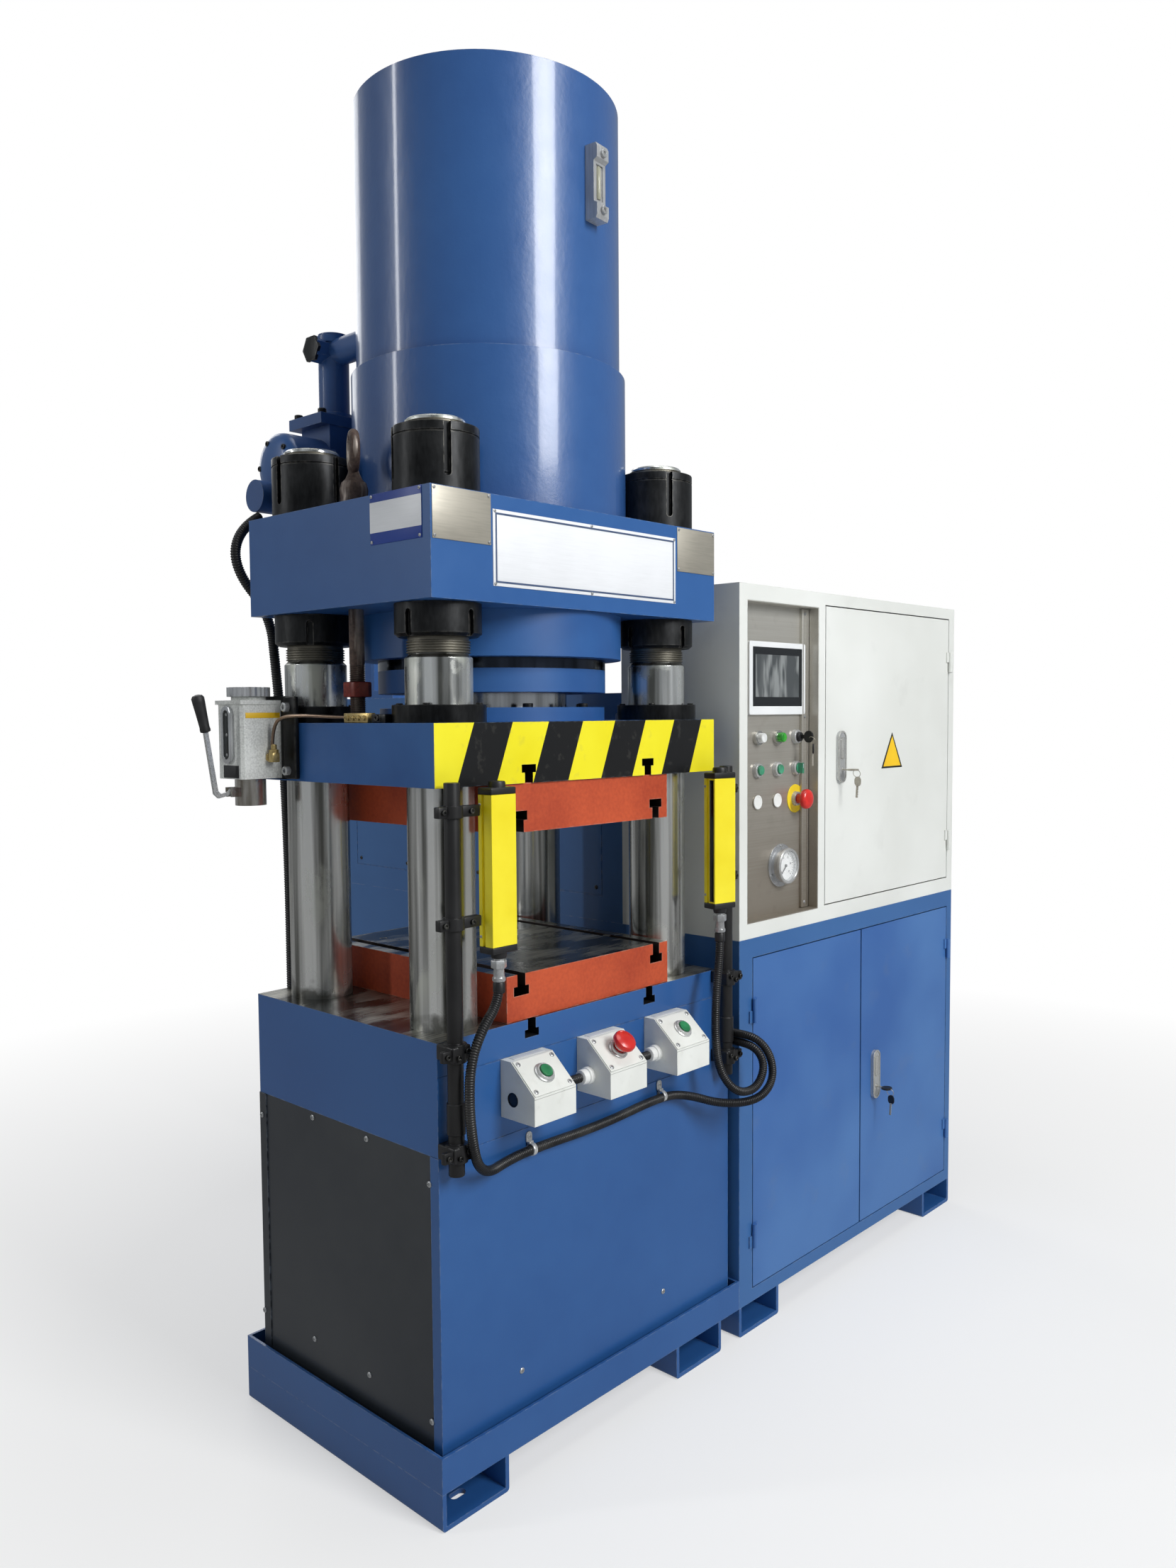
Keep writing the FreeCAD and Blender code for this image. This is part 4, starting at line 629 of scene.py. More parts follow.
def two_finish(name, metal_tone, *band):
    """Enamel, and smooth metal in a band of heights or above one."""
    material, place = new_finish(name)
    mask = place.z.between(*band) if len(band) > 1 else place.z.fade(band[0], band[0] + 0.0002)
    cloud = noise(place, 5.0, 4.0)
    streak = noise(place, 45.0, 3.0, (1, 1, 0.04))
    metal = streak.tint((*metal_tone, 0.45), metal_tone, 0.35, 0.62)
    rough = (1 - mask) * (0.36 + 0.1 * cloud) + mask * (0.07 + 0.14 * streak)
    return wear(material, mask.blend(cloud.tint(*PRESS_BLUES, 0.36, 0.62), metal), rough, mask, peel(place), 0.00005)


dress(two_finish("cylinder_paint", (60, 66, 78), 1.3345, 1.3525), "main_cylinder")
dress(two_finish("ram_chrome", (208, 210, 212), 1.2681), "ram")
ring_angles = [math.radians(45 * number + 22) for number in range(8)]
fix(cap_screw(9, 9), "ram_flange_screws", nut_black,
    [spot(PRESS_X + 178 * math.cos(a), PRESS_Y + 178 * math.sin(a), 1266) for a in ring_angles], "slide")


# Level gauge on the oil tank: an extruded aluminium body with two clamping screws and a clear tube
# behind its window.

dress(plain_metal("gauge_alloy", (222, 224, 226), 0.3, 0.1, (1, 1, 0.05), metal=0.5), "level_gauge")
gauge_turn = spot(PRESS_X, PRESS_Y, 0, turned(5))
fix(lathe([(7, -1), (7, 3.6), (6.2, 4.4), (3, 4.4), (2.6, 2.2), (1, 2.2)], 24), "level_gauge_screws", zinc,
    [gauge_turn @ spot(0, -262, z, "-Y") for z in (2097, 2189)])


def clear_finish(name, tone, rough, glass):
    """Clear cover: it lets the piece behind it show."""
    material, place = new_finish(name, Transmission_Weight=glass, IOR=1.46)
    return wear(material, noise(place, 30.0).tint(tone, (*tone, 0.94)), rough, 0.0)


fix(lathe([(4, 2117), (4.6, 2118), (4.6, 2169), (4, 2170)], 24), "level_gauge_tube",
    clear_finish("oil_tube", (206, 206, 184), 0.08, 0.5), gauge_turn @ spot(0, -251.5, 0))


# Stop rod: a rusted bar with a welded lifting eye above the crown, a thread below it and a hexagon
# nut in red primer that meets the slide's stop.

ROD_X, ROD_Y = -782, -11
ROD_THREAD_FOOT, ROD_THREAD_TOP, ROD_PITCH = 1256.0, 1338, 3.1


def rusted(name, pale, brown, bare, metal):
    material, place = new_finish(name)
    rust = noise(place, 38.0, 6.0), noise(place, 210.0, 4.0)
    colour = (0.6 * rust[0] + 0.4 * rust[1]).tint(brown, pale, 0.38, 0.62)
    clean = noise(place, 50.0, 4.0, (1, 1, 0.12)).fade(0.5, 0.64)
    return wear(material, (0.75 * clean).blend(colour, bare), 0.7 - 0.35 * clean, metal * clean,
                0.5 * rust[0] + 0.5 * rust[1], 0.0005)


rod_profile = [(11, 1254), (11.6, 1255)]
height = ROD_THREAD_FOOT
while height < ROD_THREAD_TOP:
    rod_profile += [(11.6, height), (13.2, height + 0.9), (13.2, height + 1.5), (11.6, height + 2.4)]
    height += ROD_PITCH
rod_profile += [(12.5, ROD_THREAD_TOP + 3), (12.5, 1430), (10, 1433), (10, 1600)]
shank = lathe(rod_profile, 32)
lump = lathe([(21, 1599.2), (23.5, 1603), (22, 1612), (23.5, 1626), (20.5, 1637), (14, 1643), (10, 1652),
              (7.5, 1660)], 28)
pick()
bpy.ops.mesh.primitive_torus_add(major_segments=48, minor_segments=16, major_radius=0.026, minor_radius=0.0085,
                                 rotation=(0, math.pi / 2, 0))
eye = bpy.context.object
eye.scale = (1.06, 1, 1)
settle()
put(eye, spot(0, 0, 1688.5, turned(-30)))
rod_steel = rusted("rod_steel", (92, 74, 64), (50, 36, 31), (176, 166, 156), 0.55)
red_primer = rusted("red_primer", (140, 48, 34), (86, 28, 22), (120, 54, 44), 0.1)
fix(together(shank, lump, eye), "stop_rod_bar", rod_steel, spot(ROD_X, ROD_Y, 0), smooth=40,
    stands_for=["stop_rod"])
pick()
bpy.ops.mesh.primitive_cylinder_add(vertices=6, radius=0.0245, depth=0.025, rotation=(0, 0, 0.2),
                                    location=(ROD_X * MM, ROD_Y * MM, 1.299))
hexagon = bpy.context.object
settle()
bevel(2.2, 3)
fix(hexagon, "stop_rod_nut", red_primer, smooth=30)


# Slide: a painted block whose front wears slanting hazard stripes. Black guide rings sit on it, with
# a small grease fitting at the right. Painted shade darkens its left face behind the lubricator pot
# and the inside of its T-slots.

STRIPE_START, STRIPE_PERIOD, STRIPE_LEAN, STRIPE_HEIGHT = -0.7456, 0.1646, 0.38, 1.243


def hazard_finish():
    material, place = new_finish("slide_paint", Coat_Weight=0.15, Coat_Roughness=0.15, Specular_IOR_Level=0.35)
    across = (place.x - STRIPE_LEAN * (place.z - STRIPE_HEIGHT) - STRIPE_START) * (1 / STRIPE_PERIOD)
    dark = across.math("FRACT", across + 8).between(0.0, 0.5, 0.003)
    cloud = noise(place, 5.0, 4.0)
    scuff = noise(place, 60.0, 6.0).fade(0.6, 0.68)
    striped = dark.blend(cloud.tint((236, 222, 24), (246, 236, 46)), (16, 17, 19))
    striped = (0.09 * scuff).blend(striped, (120, 118, 110))
    # Painted shadow: the left face behind the lubricator pot is near-black, with a ragged edge.
    ragged = (place.y + 0.012 * noise(place, 26.0, 4.0)).fade(0.092, 0.0925)
    pot_shadow = ragged * (-facing(place).x).fade(0.6, 0.8) * (-place.x).fade(0.826, 0.8265)
    plain = pot_shadow.blend(cloud.tint(*PRESS_BLUES, 0.36, 0.62), (17, 18, 20))
    front = (-facing(place).y).fade(0.6, 0.8) * (-place.y).fade(0.2570, 0.2574)
    colour = worn_edge(place, front.blend(plain, striped), (120, 130, 140), 0.5, start=0.45)
    # Painted shade: the inner faces of the T-slots are near-black.
    colour = in_slots(place, 0.3, 1.1452, 1.1752).blend(colour, SLOT_SHADE)
    return wear(material, colour, 0.34 + 0.12 * cloud, None, peel(place), 0.00006)


dress(hazard_finish(), "slide")
dress(blackened("ring_black", (18, 19, 20), (90, 90, 88), 0.22), "guide_bushes")
ring_spots = [spot(x + 65 * math.cos(angle), y + 65 * math.sin(angle), 1271.6)
              for x in COLUMN_X for y in COLUMN_Y for angle in (0.6, 2.2, 3.7, 5.3)]
fix(cap_screw(5.5, 3.4), "guide_ring_screws", nut_black, ring_spots, "slide")
stem = lathe([(3, 1243.8), (3, 1256), (2.4, 1257)], 20)
arm = put(lathe([(2.6, -2), (2.6, 16), (5.5, 17), (5.5, 22), (4, 23), (4, 27), (2, 28)], 20),
          spot(0, 0, 1254, turned(62, "Y")))
fix(together(stem, arm), "slide_grease_fitting", zinc, spot(-216, -86, 0), "slide")


# Die plates: flame-cut steel under orange-red primer, ground bright on the working faces, where oil
# lies in streaks. The inner faces of their T-slots are painted dark red-brown as painted shade.

PLATE_MIDDLE, PLATE_SPACING, PLATE_SLOT_HALF = -0.474, 0.344, 0.0172


def plate_paint(name, ground_side, slot_low, slot_high):
    material, place = new_finish(name)
    cloud = noise(place, 7.0, 5.0)
    speck = noise(place, 150.0, 3.0)
    ground = (ground_side * facing(place).z).fade(0.6, 0.9)
    primer = (0.7 * cloud + 0.3 * speck).tint((164, 58, 28), (198, 82, 42), 0.36, 0.62)
    primer = worn_edge(place, primer, (190, 176, 160), 0.7, 0.003, 60.0, 4.0, 0.42, 0.6)
    steel, smooth = oily_steel(place, (176, 174, 164), (108, 106, 98), (40, 38, 32))
    rough = (1 - ground) * (0.5 + 0.2 * cloud) + ground * smooth
    slot = in_slots(place, PLATE_SPACING, slot_low, slot_high, PLATE_SLOT_HALF, PLATE_MIDDLE)
    # The slots' inner faces take a dark red-brown painted shade.
    return wear(material, slot.blend(ground.blend(primer, steel), (30, 17, 13)), rough, 0.85 * ground, speck, 0.00012)


dress(plate_paint("bolster_paint", 1.0, 0.7988, 0.8338), "bolster_plate")
dress(plate_paint("upper_plate_paint", -1.0, 1.0652, 1.1002), "upper_plate")
fix(lathe([(7.4, -0.5), (7.4, 0.25), (6.4, 0.4), (5.2, 0.2), (4.6, -0.3), (0.5, -0.3)], 32), "bolster_plugs",
    nut_black, [spot(-600, 169, 834), spot(-303, -133, 834)])


# Hand lubricator: a sand-cast grey pot with a chromed sight glass, on a black bracket. The pump
# barrel under it is plated, and a brass elbow feeds the tube to the distributor.

LUBE_X, LUBE_Y = -873, 175
POT_LEFT, SIGHT_Y, SIGHT_Z = LUBE_X - 38, LUBE_Y + 3, 1225
UPRIGHT_LEFT = Matrix(((0, 0, -1, 0), (-1, 0, 0, 0), (0, 1, 0, 0), (0, 0, 0, 1)))
UPRIGHT_FRONT = Matrix(((1, 0, 0, 0), (0, 0, -1, 0), (0, 1, 0, 0), (0, 0, 0, 1)))


def lubricator_finish():
    material, place = new_finish("lubricator_cast")
    sand = noise(place, 330.0, 3.0)
    cloud = noise(place, 20.0, 3.0)
    cast = (0.6 * sand + 0.4 * cloud).tint((196, 198, 194), (232, 234, 230), 0.36, 0.6)
    plated = 1 - place.z.fade(1.1496, 1.1499)
    streak = noise(place, 50.0, 3.0, (1, 1, 0.1)).tint((120, 110, 96), (206, 204, 198), 0.4, 0.6)
    colour = place.x.fade(-0.8352, -0.8350).blend(plated.blend(cast, streak), (26, 27, 28))
    return wear(material, colour, 0.5 - 0.3 * plated + 0.1 * cloud, 0.25 + 0.7 * plated, sand, 0.0003)


def oval(half_width, half_height, depth, inner=None):
    """A flat ring or disc with round ends, drawn upright and looking along +Z."""
    pick()
    bpy.ops.mesh.primitive_circle_add(vertices=48, radius=half_width * MM, fill_type="NGON")
    piece = bpy.context.object
    for side in (1, -1):
        edit()
        bpy.ops.mesh.select_mode(type="VERT")
        bpy.ops.mesh.select_all(action="DESELECT")
        mode("OBJECT")
        for vertex in piece.data.vertices:
            vertex.select = side * vertex.co.y > 1e-7
        mode("EDIT")
        bpy.ops.transform.translate(value=(0, side * (half_height - half_width) * MM, 0))
        mode("OBJECT")
    edit()
    pull(depth)
    bpy.ops.mesh.inset(thickness=min(0.8, 0.3 * depth) * MM, depth=min(0.5, 0.25 * depth) * MM)
    if inner:
        bpy.ops.mesh.inset(thickness=(half_width - inner) * MM, depth=0)
        pull(-0.7 * depth)
    bpy.ops.mesh.select_all(action="SELECT")
    bpy.ops.mesh.normals_make_consistent(inside=False)
    mode("OBJECT")
    return piece


dress(lubricator_finish(), "lubricator")
cap_chrome = plain_metal("cap_chrome", (232, 234, 236), 0.12, 0.08, (1, 1, 0.1), metal=0.7)
dress(cap_chrome, "filler_cap")
dress(plain_metal("lever_steel", (222, 224, 224), 0.22, metal=0.55), "lubricator_lever")
sight_glass = clear_finish("sight_glass", (30, 34, 34), 0.04, 0.1)
window = ("rim", oval(16, 49, 5, 9.5), cap_chrome, 0), ("pane", oval(9.5, 42.5, 2.4), sight_glass, 0.9)
for name, piece, finish, proud in window:
    fix(piece, f"sight_{name}", finish, spot(POT_LEFT - proud, SIGHT_Y, SIGHT_Z, UPRIGHT_LEFT), "slide")
fix(pan_head(2.6, 1.6), "sight_screws", zinc,
    grid(POT_LEFT - 3.2, SIGHT_Y, (SIGHT_Z - 34, SIGHT_Z, SIGHT_Z + 34), "-X"), "slide")
fix(block((POT_LEFT - 0.8, LUBE_Y - 27, 1152), (POT_LEFT + 0.2, LUBE_Y + 20, 1173), 0.2), "pot_plate",
    plate_finish("plate_black", (30, 31, 33), 0.4), body="slide")
fix(block((LUBE_X - 30, LUBE_Y - 38.8, 1253), (LUBE_X + 36, LUBE_Y - 37.8, 1262), 0.2), "pot_strip",
    plate_finish("strip_yellow", (236, 190, 34), 0.4), body="slide")
fix(block((-836, 94, 1149), (-827, 128, 1289), 2.2, 3), "bracket_flange", nut_black, body="slide")
fix(cap_screw(8, 9), "bracket_screws", cap_chrome, grid(-836, 115, (1271, 1163), "-X"), "slide")
brass = plain_metal("brass", (222, 196, 132), 0.26, metal=0.75)
elbow = together(block((-7, -20, -8), (7, -6, 8), 1.2),
                 put(lathe([(7.5, 6), (8, 7), (8, 13), (5, 14), (5, 21), (4, 22)], 6), spot(0, -13, 0)),
                 put(lathe([(9, 0), (9, 4), (6, 5), (6, 10)], 6), spot(0, 0, 0, "-Y")))
fix(elbow, "pot_elbow", brass, spot(LUBE_X + 15, LUBE_Y - 38, 1186), "slide", 30)
LUBE_ROUTE = [(-858, 129, 1206), (-858, 126, 1232), (-856, 110, 1254), (-848, 60, 1257), (-828, 0, 1254),
              (-817, -26, 1253)]


def smooth_line(route, detail=24):
    """The points of the smooth curve that a route of control points steers."""
    data = bpy.data.curves.new("guide", "CURVE")
    data.dimensions = "3D"
    spline = data.splines.new("NURBS")
    spline.points.add(len(route) - 1)
    for point, place in zip(spline.points, route):
        point.co = (*[along * MM for along in place], 1)
    spline.order_u = 3
    spline.use_endpoint_u = True
    spline.resolution_u = detail
    guide = bpy.data.objects.new("guide", data)
    bpy.context.scene.collection.objects.link(guide)
    bpy.context.view_layer.update()
    mesh = bpy.data.meshes.new_from_object(guide)
    line = [vertex.co.copy() for vertex in mesh.vertices]
    bpy.data.objects.remove(guide)
    bpy.data.meshes.remove(mesh)
    return line


def swept(line, radius, profile=(1.0,), pitch=None):
    """A tube along a line. With a pitch, its radius repeats the profile, as ribs do."""
    steps = [0.0]
    for a, b in zip(line, line[1:]):
        steps.append(steps[-1] + (b - a).length)
    stations = [(step, 1.0) for step in steps]
    if pitch:
        count = int(steps[-1] / (pitch * MM)) * len(profile)
        stations = [(steps[-1] * number / count, profile[number % len(profile)]) for number in range(count + 1)]
    data = bpy.data.curves.new("tube", "CURVE")
    data.dimensions = "3D"
    data.bevel_depth = radius * MM
    data.bevel_resolution = 6
    data.use_fill_caps = True
    spline = data.splines.new("POLY")
    spline.points.add(len(stations) - 1)
    place = 0
    for point, (step, share) in zip(spline.points, stations):
        while place < len(steps) - 2 and steps[place + 1] < step:
            place += 1
        part = (step - steps[place]) / max(steps[place + 1] - steps[place], 1e-9)
        point.co = (*line[place].lerp(line[place + 1], min(part, 1.0)), 1)
        point.radius = share
    tube = bpy.data.objects.new("tube", data)
    bpy.context.scene.collection.objects.link(tube)
    pick(tube)
    bpy.ops.object.convert(target="MESH")
    return bpy.context.object


feed_tube = swept(smooth_line(LUBE_ROUTE), 2.9)
strip = block((-821, -89, 1244), (-805, -25, 1260), 1.2)
ports = copies(lathe([(4.6, -1), (4.6, 4), (3, 5), (3, 7), (1.6, 7), (1.6, 3), (0.4, 3)], 6),
               grid(-821, (-80, -66, -52, -38), 1252, "-X"))
fix(together(strip, ports), "distributor", brass, body="slide", smooth=30)
fix(feed_tube, "feed_tube", plain_metal("copper_tube", (170, 146, 126), 0.26), body="slide",
    stands_for=["lube_line"])
fix(together(block((-821, -134, 1244), (-803, -98, 1258), 2), put(cap_screw(5, 5), spot(-821, -116, 1252, "-X"))),
    "distributor_block", nut_black, body="slide")


def lacquer(name, low, high, rough=0.36, grain=260.0, depth=0.00005, cloudy=12.0, detail=4.0, share=0.12):
    """Plain paint, plastic or rubber that clouds between two tones over a fine grain."""
    material, place = new_finish(name)
    cloud = noise(place, cloudy, detail)
    rough = rough + share * cloud if share else rough
    return wear(material, cloud.tint(low, high), rough, 0.0, noise(place, grain), depth)


grip = lathe([(6, -1), (8.4, 0), (8.8, 3), (8.2, 8), (9.2, 30), (10.4, 50), (10.6, 57), (8, 61), (3, 62.5)], 32)
fix(grip, "lever_grip", lacquer("grip_rubber", (24, 24, 25), (40, 40, 42), 0.55, 260.0, 0.0002, 40.0, 3.0, 0),
    spot(LUBE_X - 82, LUBE_Y, 1231, turned(-13, "Y")), "lever")


# Light curtains: yellow-lacquered extrusions with black end caps and a dark window towards each
# other. Black tube posts carry them on clamps with cap screws.

CURTAINS = ((-733.5, -295, 0), (-172.7, -303.6, -12))
POLES, POLE_Y = ((-814, -1), (-125, 1)), -283

black_plastic = lacquer("black_plastic", (20, 20, 22), (36, 36, 38), 0.4)
window_black = lacquer("window_black", (12, 12, 14), (22, 20, 22), 0.1)
dress(lacquer("curtain_yellow", (240, 220, 28), (250, 234, 48), 0.34), "light_curtains")
for number, (x, y, turn) in enumerate(CURTAINS):
    stand = spot(x, y, 0, turned(turn))
    inner = 25.2 - 50.4 * number
    fix(block((inner - 0.5, -12, 903), (inner + 0.9, -0.5, 1131), 0.3), f"curtain_window_{number}", window_black,
        stand)
    caps = [block((-26.2, -15.8, z), (26.2, 15.8, z + 11), 2.2, 3) for z in (889, 1134)]
    caps.append(lathe([(13.5, 1144), (13.5, 1151), (12.4, 1154), (4, 1154.6)], 32))
    caps.append(lathe([(7, 879), (11.5, 880), (12.5, 884), (12.5, 890)], 32))
    fix(together(*caps), f"curtain_caps_{number}", black_plastic, stand,
        stands_for=["curtain_fittings"] if number == 0 else ())
    barrel = lathe([(6, 842.6), (9.4, 843), (10.4, 844.6), (10.4, 849), (8.9, 850.4), (8.2, 862), (9, 864),
                    (9, 877), (8, 881)], 32)
    grip_nut = lathe([(8.5, 864), (11.6, 864), (12.6, 865.4), (12.6, 875.6), (11.6, 877), (8.5, 877)], 6, hollow=True)
    fix(together(barrel, grip_nut), f"curtain_plug_{number}", zinc, stand)
    fix(pan_head(2.4, 1.4), f"curtain_screws_{number}", zinc,
        [stand @ spot(x, 11.5, z, way) for x, way in ((-25.5, "-X"), (25.5, "X")) for z in (915, 1119)])


def ring_clamp(x, z, inner, outer, edge, half):
    """A clamp's ring round a post, chamfered at both ends."""
    profile = [(inner, z - half - edge), (outer, z - half), (outer, z + half), (inner, z + half + edge)]
    return put(lathe(profile, 40), spot(x, POLE_Y, 0))


stand_parts, stand_screws = [], []
for x, outward in POLES:
    post = lathe([(10, 556), (12.2, 556.4), (12.5, 558), (12.5, 1153), (12.2, 1154.6), (10, 1155)], 40)
    stand_parts += [put(post, spot(x, POLE_Y, 0)), ring_clamp(x, 644.5, 13.2, 14.4, 1, 23.5)]
    for z in (592, 746):
        ear_x = x + outward * 26
        stand_parts += [block((x - 18, POLE_Y - 16, z - 12), (x + 18, -259, z + 12), 2.5, 3),
                        ring_clamp(x, z, 13, 17.5, 1, 14),
                        block((ear_x - 9, POLE_Y - 13, z - 9), (ear_x + 9, POLE_Y - 4, z + 9), 2)]
        stand_screws += [spot(ear_x + outward, POLE_Y - 13, z, "-Y"), spot(x - outward * 8, POLE_Y - 16.5, z + 4, "-Y"),
                         spot(x + outward * 8, POLE_Y - 16.5, z - 4, "-Y")]
    for z in (942, 1111):
        tail_x = x + outward * 22
        reach = (x + 14, -768.5) if outward < 0 else (-147.5, x - 14)
        stand_parts += [ring_clamp(x, z, 12.9, 16.6, 0.4, 9),
                        block((tail_x - 9, POLE_Y - 6, z - 8.5), (tail_x + 9, POLE_Y + 6, z + 8.5), 1.6),
                        block((reach[0] - 2, POLE_Y - 8, z - 8.5), (reach[1] + 4, POLE_Y + 5, z + 8.5), 1.6)]
        stand_screws += [spot(tail_x, POLE_Y - 6, z, "-Y"), spot(sum(reach) / 2 - outward, POLE_Y - 8, z, "-Y")]
fix(together(*stand_parts), "curtain_posts", lacquer("stand_black", (17, 17, 18), (34, 34, 35), 0.34),
    stands_for=["curtain_stands"])
fix(cap_screw(4.4, 4.5), "clamp_screws", nut_black, stand_screws)


# Conduits: ribbed black nylon. Each hangs from a curtain's plug, bends along the skirt under its
# zinc P-clips and loops round to the gap before the cabinet; a third one drops behind the crown.

LEFT_ROUTE = [(-733.5, -295, 843), (-733.5, -295, 812), (-784, -309, 778), (-809, -311, 730), (-813, -312, 668),
              (-806, -311, 610), (-788, -302, 566), (-748, -284, 541), (-700, -271, 542), (-640, -268.5, 545),
              (-470, -269, 541), (-304, -268.5, 552), (-240, -277, 541), (-185, -315, 517), (-118, -350, 514),
              (-70, -355, 540), (-70, -352, 590), (-92, -335, 628), (-98, -290, 632), (-79, -232, 624)]
RIGHT_ROUTE = [(-172.7, -303.6, 843), (-172.7, -303.6, 800), (-200, -316, 745), (-206, -317, 660), (-200, -320, 588),
               (-172, -340, 540), (-122, -352, 538), (-92, -352, 575), (-98, -338, 610), (-96, -292, 616),
               (-79, -232, 606)]
REAR_ROUTE = [(-774, 286, 1618), (-824, 276, 1590), (-838, 272, 1520), (-768, 268, 1440), (-760, 266, 1345),
              (-750, 262, 1200), (-746, 258, 960), (-748, 255, 720), (-746, 254, 480), (-749, 254, 250),
              (-748, 254, 65.5)]
RIBS = (0.86, 1.0, 1.0)


def nylon_finish():
    material, place = new_finish("conduit_nylon")
    cloud = noise(place, 30.0, 4.0)
    dust = noise(place, 9.0, 4.0).fade(0.55, 0.75)
    colour = (0.3 * dust).blend(cloud.tint((17, 17, 18), (31, 31, 33)), (92, 90, 84))
    return wear(material, colour, 0.3 + 0.2 * cloud, 0.0, noise(place, 400.0, 1.0), 0.00003, 0.0004)


conduit_nylon = nylon_finish()
for name, route, radius, pitch, slot in (
        ("left_conduit", LEFT_ROUTE, 8, 3.9, "conduit_black"), ("right_conduit", RIGHT_ROUTE, 8, 3.9, "conduit_black"),
        ("rear_hose", REAR_ROUTE, 9, 4.4, "hose_black")):
    tube = swept(smooth_line(route), radius, RIBS, pitch)
    fix(tube, name + "_ribbed", conduit_nylon, smooth=50, stands_for=[name])
fix(lathe([(8.4, -16), (9.6, -15), (9.6, -1), (8.4, 1)], 32), "conduit_sleeves", black_plastic,
    [spot(x, y, 841) for x, y, turn in CURTAINS])

clip_silver = plain_metal("clip_silver", (222, 223, 222), 0.28, metal=0.45)
clip_parts, clip_places = [], ((-640, 545), (-304, 552))
band = lathe([(8.3, -4), (10.2, -4), (10.8, -3), (10.8, 3), (10.2, 4), (8.3, 4)], 40, hollow=True)
fix(band, "clip_bands", clip_silver, [spot(x, -268.5, z, "X") for x, z in clip_places])
for x, z in clip_places:
    clip_parts += [put(oval(6.6, 10, 2.2), spot(x, -260.4, z + 18, UPRIGHT_FRONT)),
                   block((x - 5, -268, z + 9), (x + 5, -260.6, z + 13), 0.8),
                   put(pan_head(4.6, 2.6), spot(x, -262.4, z + 20, "-Y"))]
fix(together(*clip_parts), "clip_tabs", clip_silver)


# Control boxes: off-white moulded desks with a lid on the slope and four captive screws. White
# glands and short ribbed conduits link them.

BOX_CENTRES = (-652, -474, -296)
LINK_Y, LINK_Z = -287, 645
SLOPE = math.atan2(47, 53)


def on_slope(x, along=0.0, lift=0.0, across=0.0):
    """A place on a box's sloping lid, looking square out of it."""
    return spot(x, -309.5, 681.5, Matrix.Rotation(SLOPE, 4, "X")) @ spot(across, along, lift)


def box_finish():
    material, place = new_finish("box_plastic")
    cloud = noise(place, 9.0, 4.0)
    dirt = noise(place, 34.0, 5.0).fade(0.58, 0.72)
    seam = place.z.between(0.6545, 0.6552) * (-place.y).fade(0.3352, 0.3355)
    colour = (0.16 * dirt).blend(cloud.tint((222, 224, 218), (236, 238, 233)), (150, 146, 132))
    colour = (0.6 * seam).blend(colour, (90, 90, 86))
    return wear(material, colour, 0.36 + 0.14 * cloud, 0.0, noise(place, 240.0), 0.00005, 0.0016)


def lens_finish(name, tone, deep):
    """Moulded lens or mushroom: even colour that deepens in patches."""
    material, place = new_finish(name, Coat_Weight=0.4, Coat_Roughness=0.1)
    cloud = noise(place, 60.0, 3.0)
    return wear(material, cloud.tint(deep, tone), 0.28 + 0.1 * cloud, 0.0, noise(place, 500.0, 1.0), 0.00003, 0.0012)


box_plastic = box_finish()
dress(box_plastic, "control_box_left", "control_box_middle", "control_box_right")
# Painted shade: a near-black disc sunk in the left box's side hole stands for the shade inside it.
fix(lathe([(11.6, -0.4), (11.6, 0.5), (10.8, 0.9), (10, 0.5), (9.6, -4), (0.5, -4)], 40), "box_hole_shade", window_black,
    spot(BOX_CENTRES[0] - 47, LINK_Y, LINK_Z, "-X"))
lid = carve(block((-45.4, -34.6, -0.6), (45.4, 34.6, 1.6), 1.4, 3), lathe([(15.3, -3), (15.3, 4)], 32))
fix(lid, "box_lids", box_plastic, [on_slope(x) for x in BOX_CENTRES])
fix(pan_head(4.2, 1.8), "box_lid_screws", zinc,
    [on_slope(x, along, 1.6, across) for x in BOX_CENTRES for across in (-38, 38) for along in (-27, 27)])
fix(block((-34, -7, -0.2), (34, 7, 0.7), 0.2), "box_top_plates", plate_finish("label_grey", (214, 216, 216), 0.4),
    grid(BOX_CENTRES, -271, 705))
bezel_chrome = plain_metal("bezel_chrome", (222, 223, 222), 0.2, 0.1, metal=0.5)
bezel = [(12.2, 1), (18.2, 1), (18.2, 3.6), (17, 4.6), (15.6, 4.8), (15.2, 8.4), (14.2, 9.2), (12.2, 9.2)]
fix(lathe(bezel, 48, hollow=True), "box_bezels", bezel_chrome, [on_slope(x) for x in BOX_CENTRES])
button_green = lens_finish("button_green", (40, 140, 86), (28, 112, 68))
stop_red = lens_finish("stop_red", (226, 44, 34), (196, 28, 24))
dress(button_green, "box_button_left", "box_button_right")
dress(stop_red, "box_stop_button", "panel_stop_button")
for side, x in (("left", BOX_CENTRES[0]), ("right", BOX_CENTRES[2])):
    face = lathe([(11.2, 9.6), (11.2, 11), (10.4, 11.8), (8.6, 11.2), (0.5, 10.9)], 40)
    fix(face, f"box_{side}_button_face", button_green, on_slope(x), f"{side}_box_button")
fix(lathe([(19.9, 20.8), (20.6, 22), (20.6, 27), (19, 30.4), (15, 32.6), (9, 33.8), (0.5, 34.2)], 56), "box_stop_face",
    stop_red, on_slope(BOX_CENTRES[1]), "box_stop")
fix(lathe([(11.4, 11.6), (11.9, 12.1), (11.9, 19.2), (12.6, 20.4), (12.6, 21)], 40), "box_stop_neck", bezel_chrome,
    on_slope(BOX_CENTRES[1]), "box_stop")
link_ends = [x + 47 for x in BOX_CENTRES[:2]]
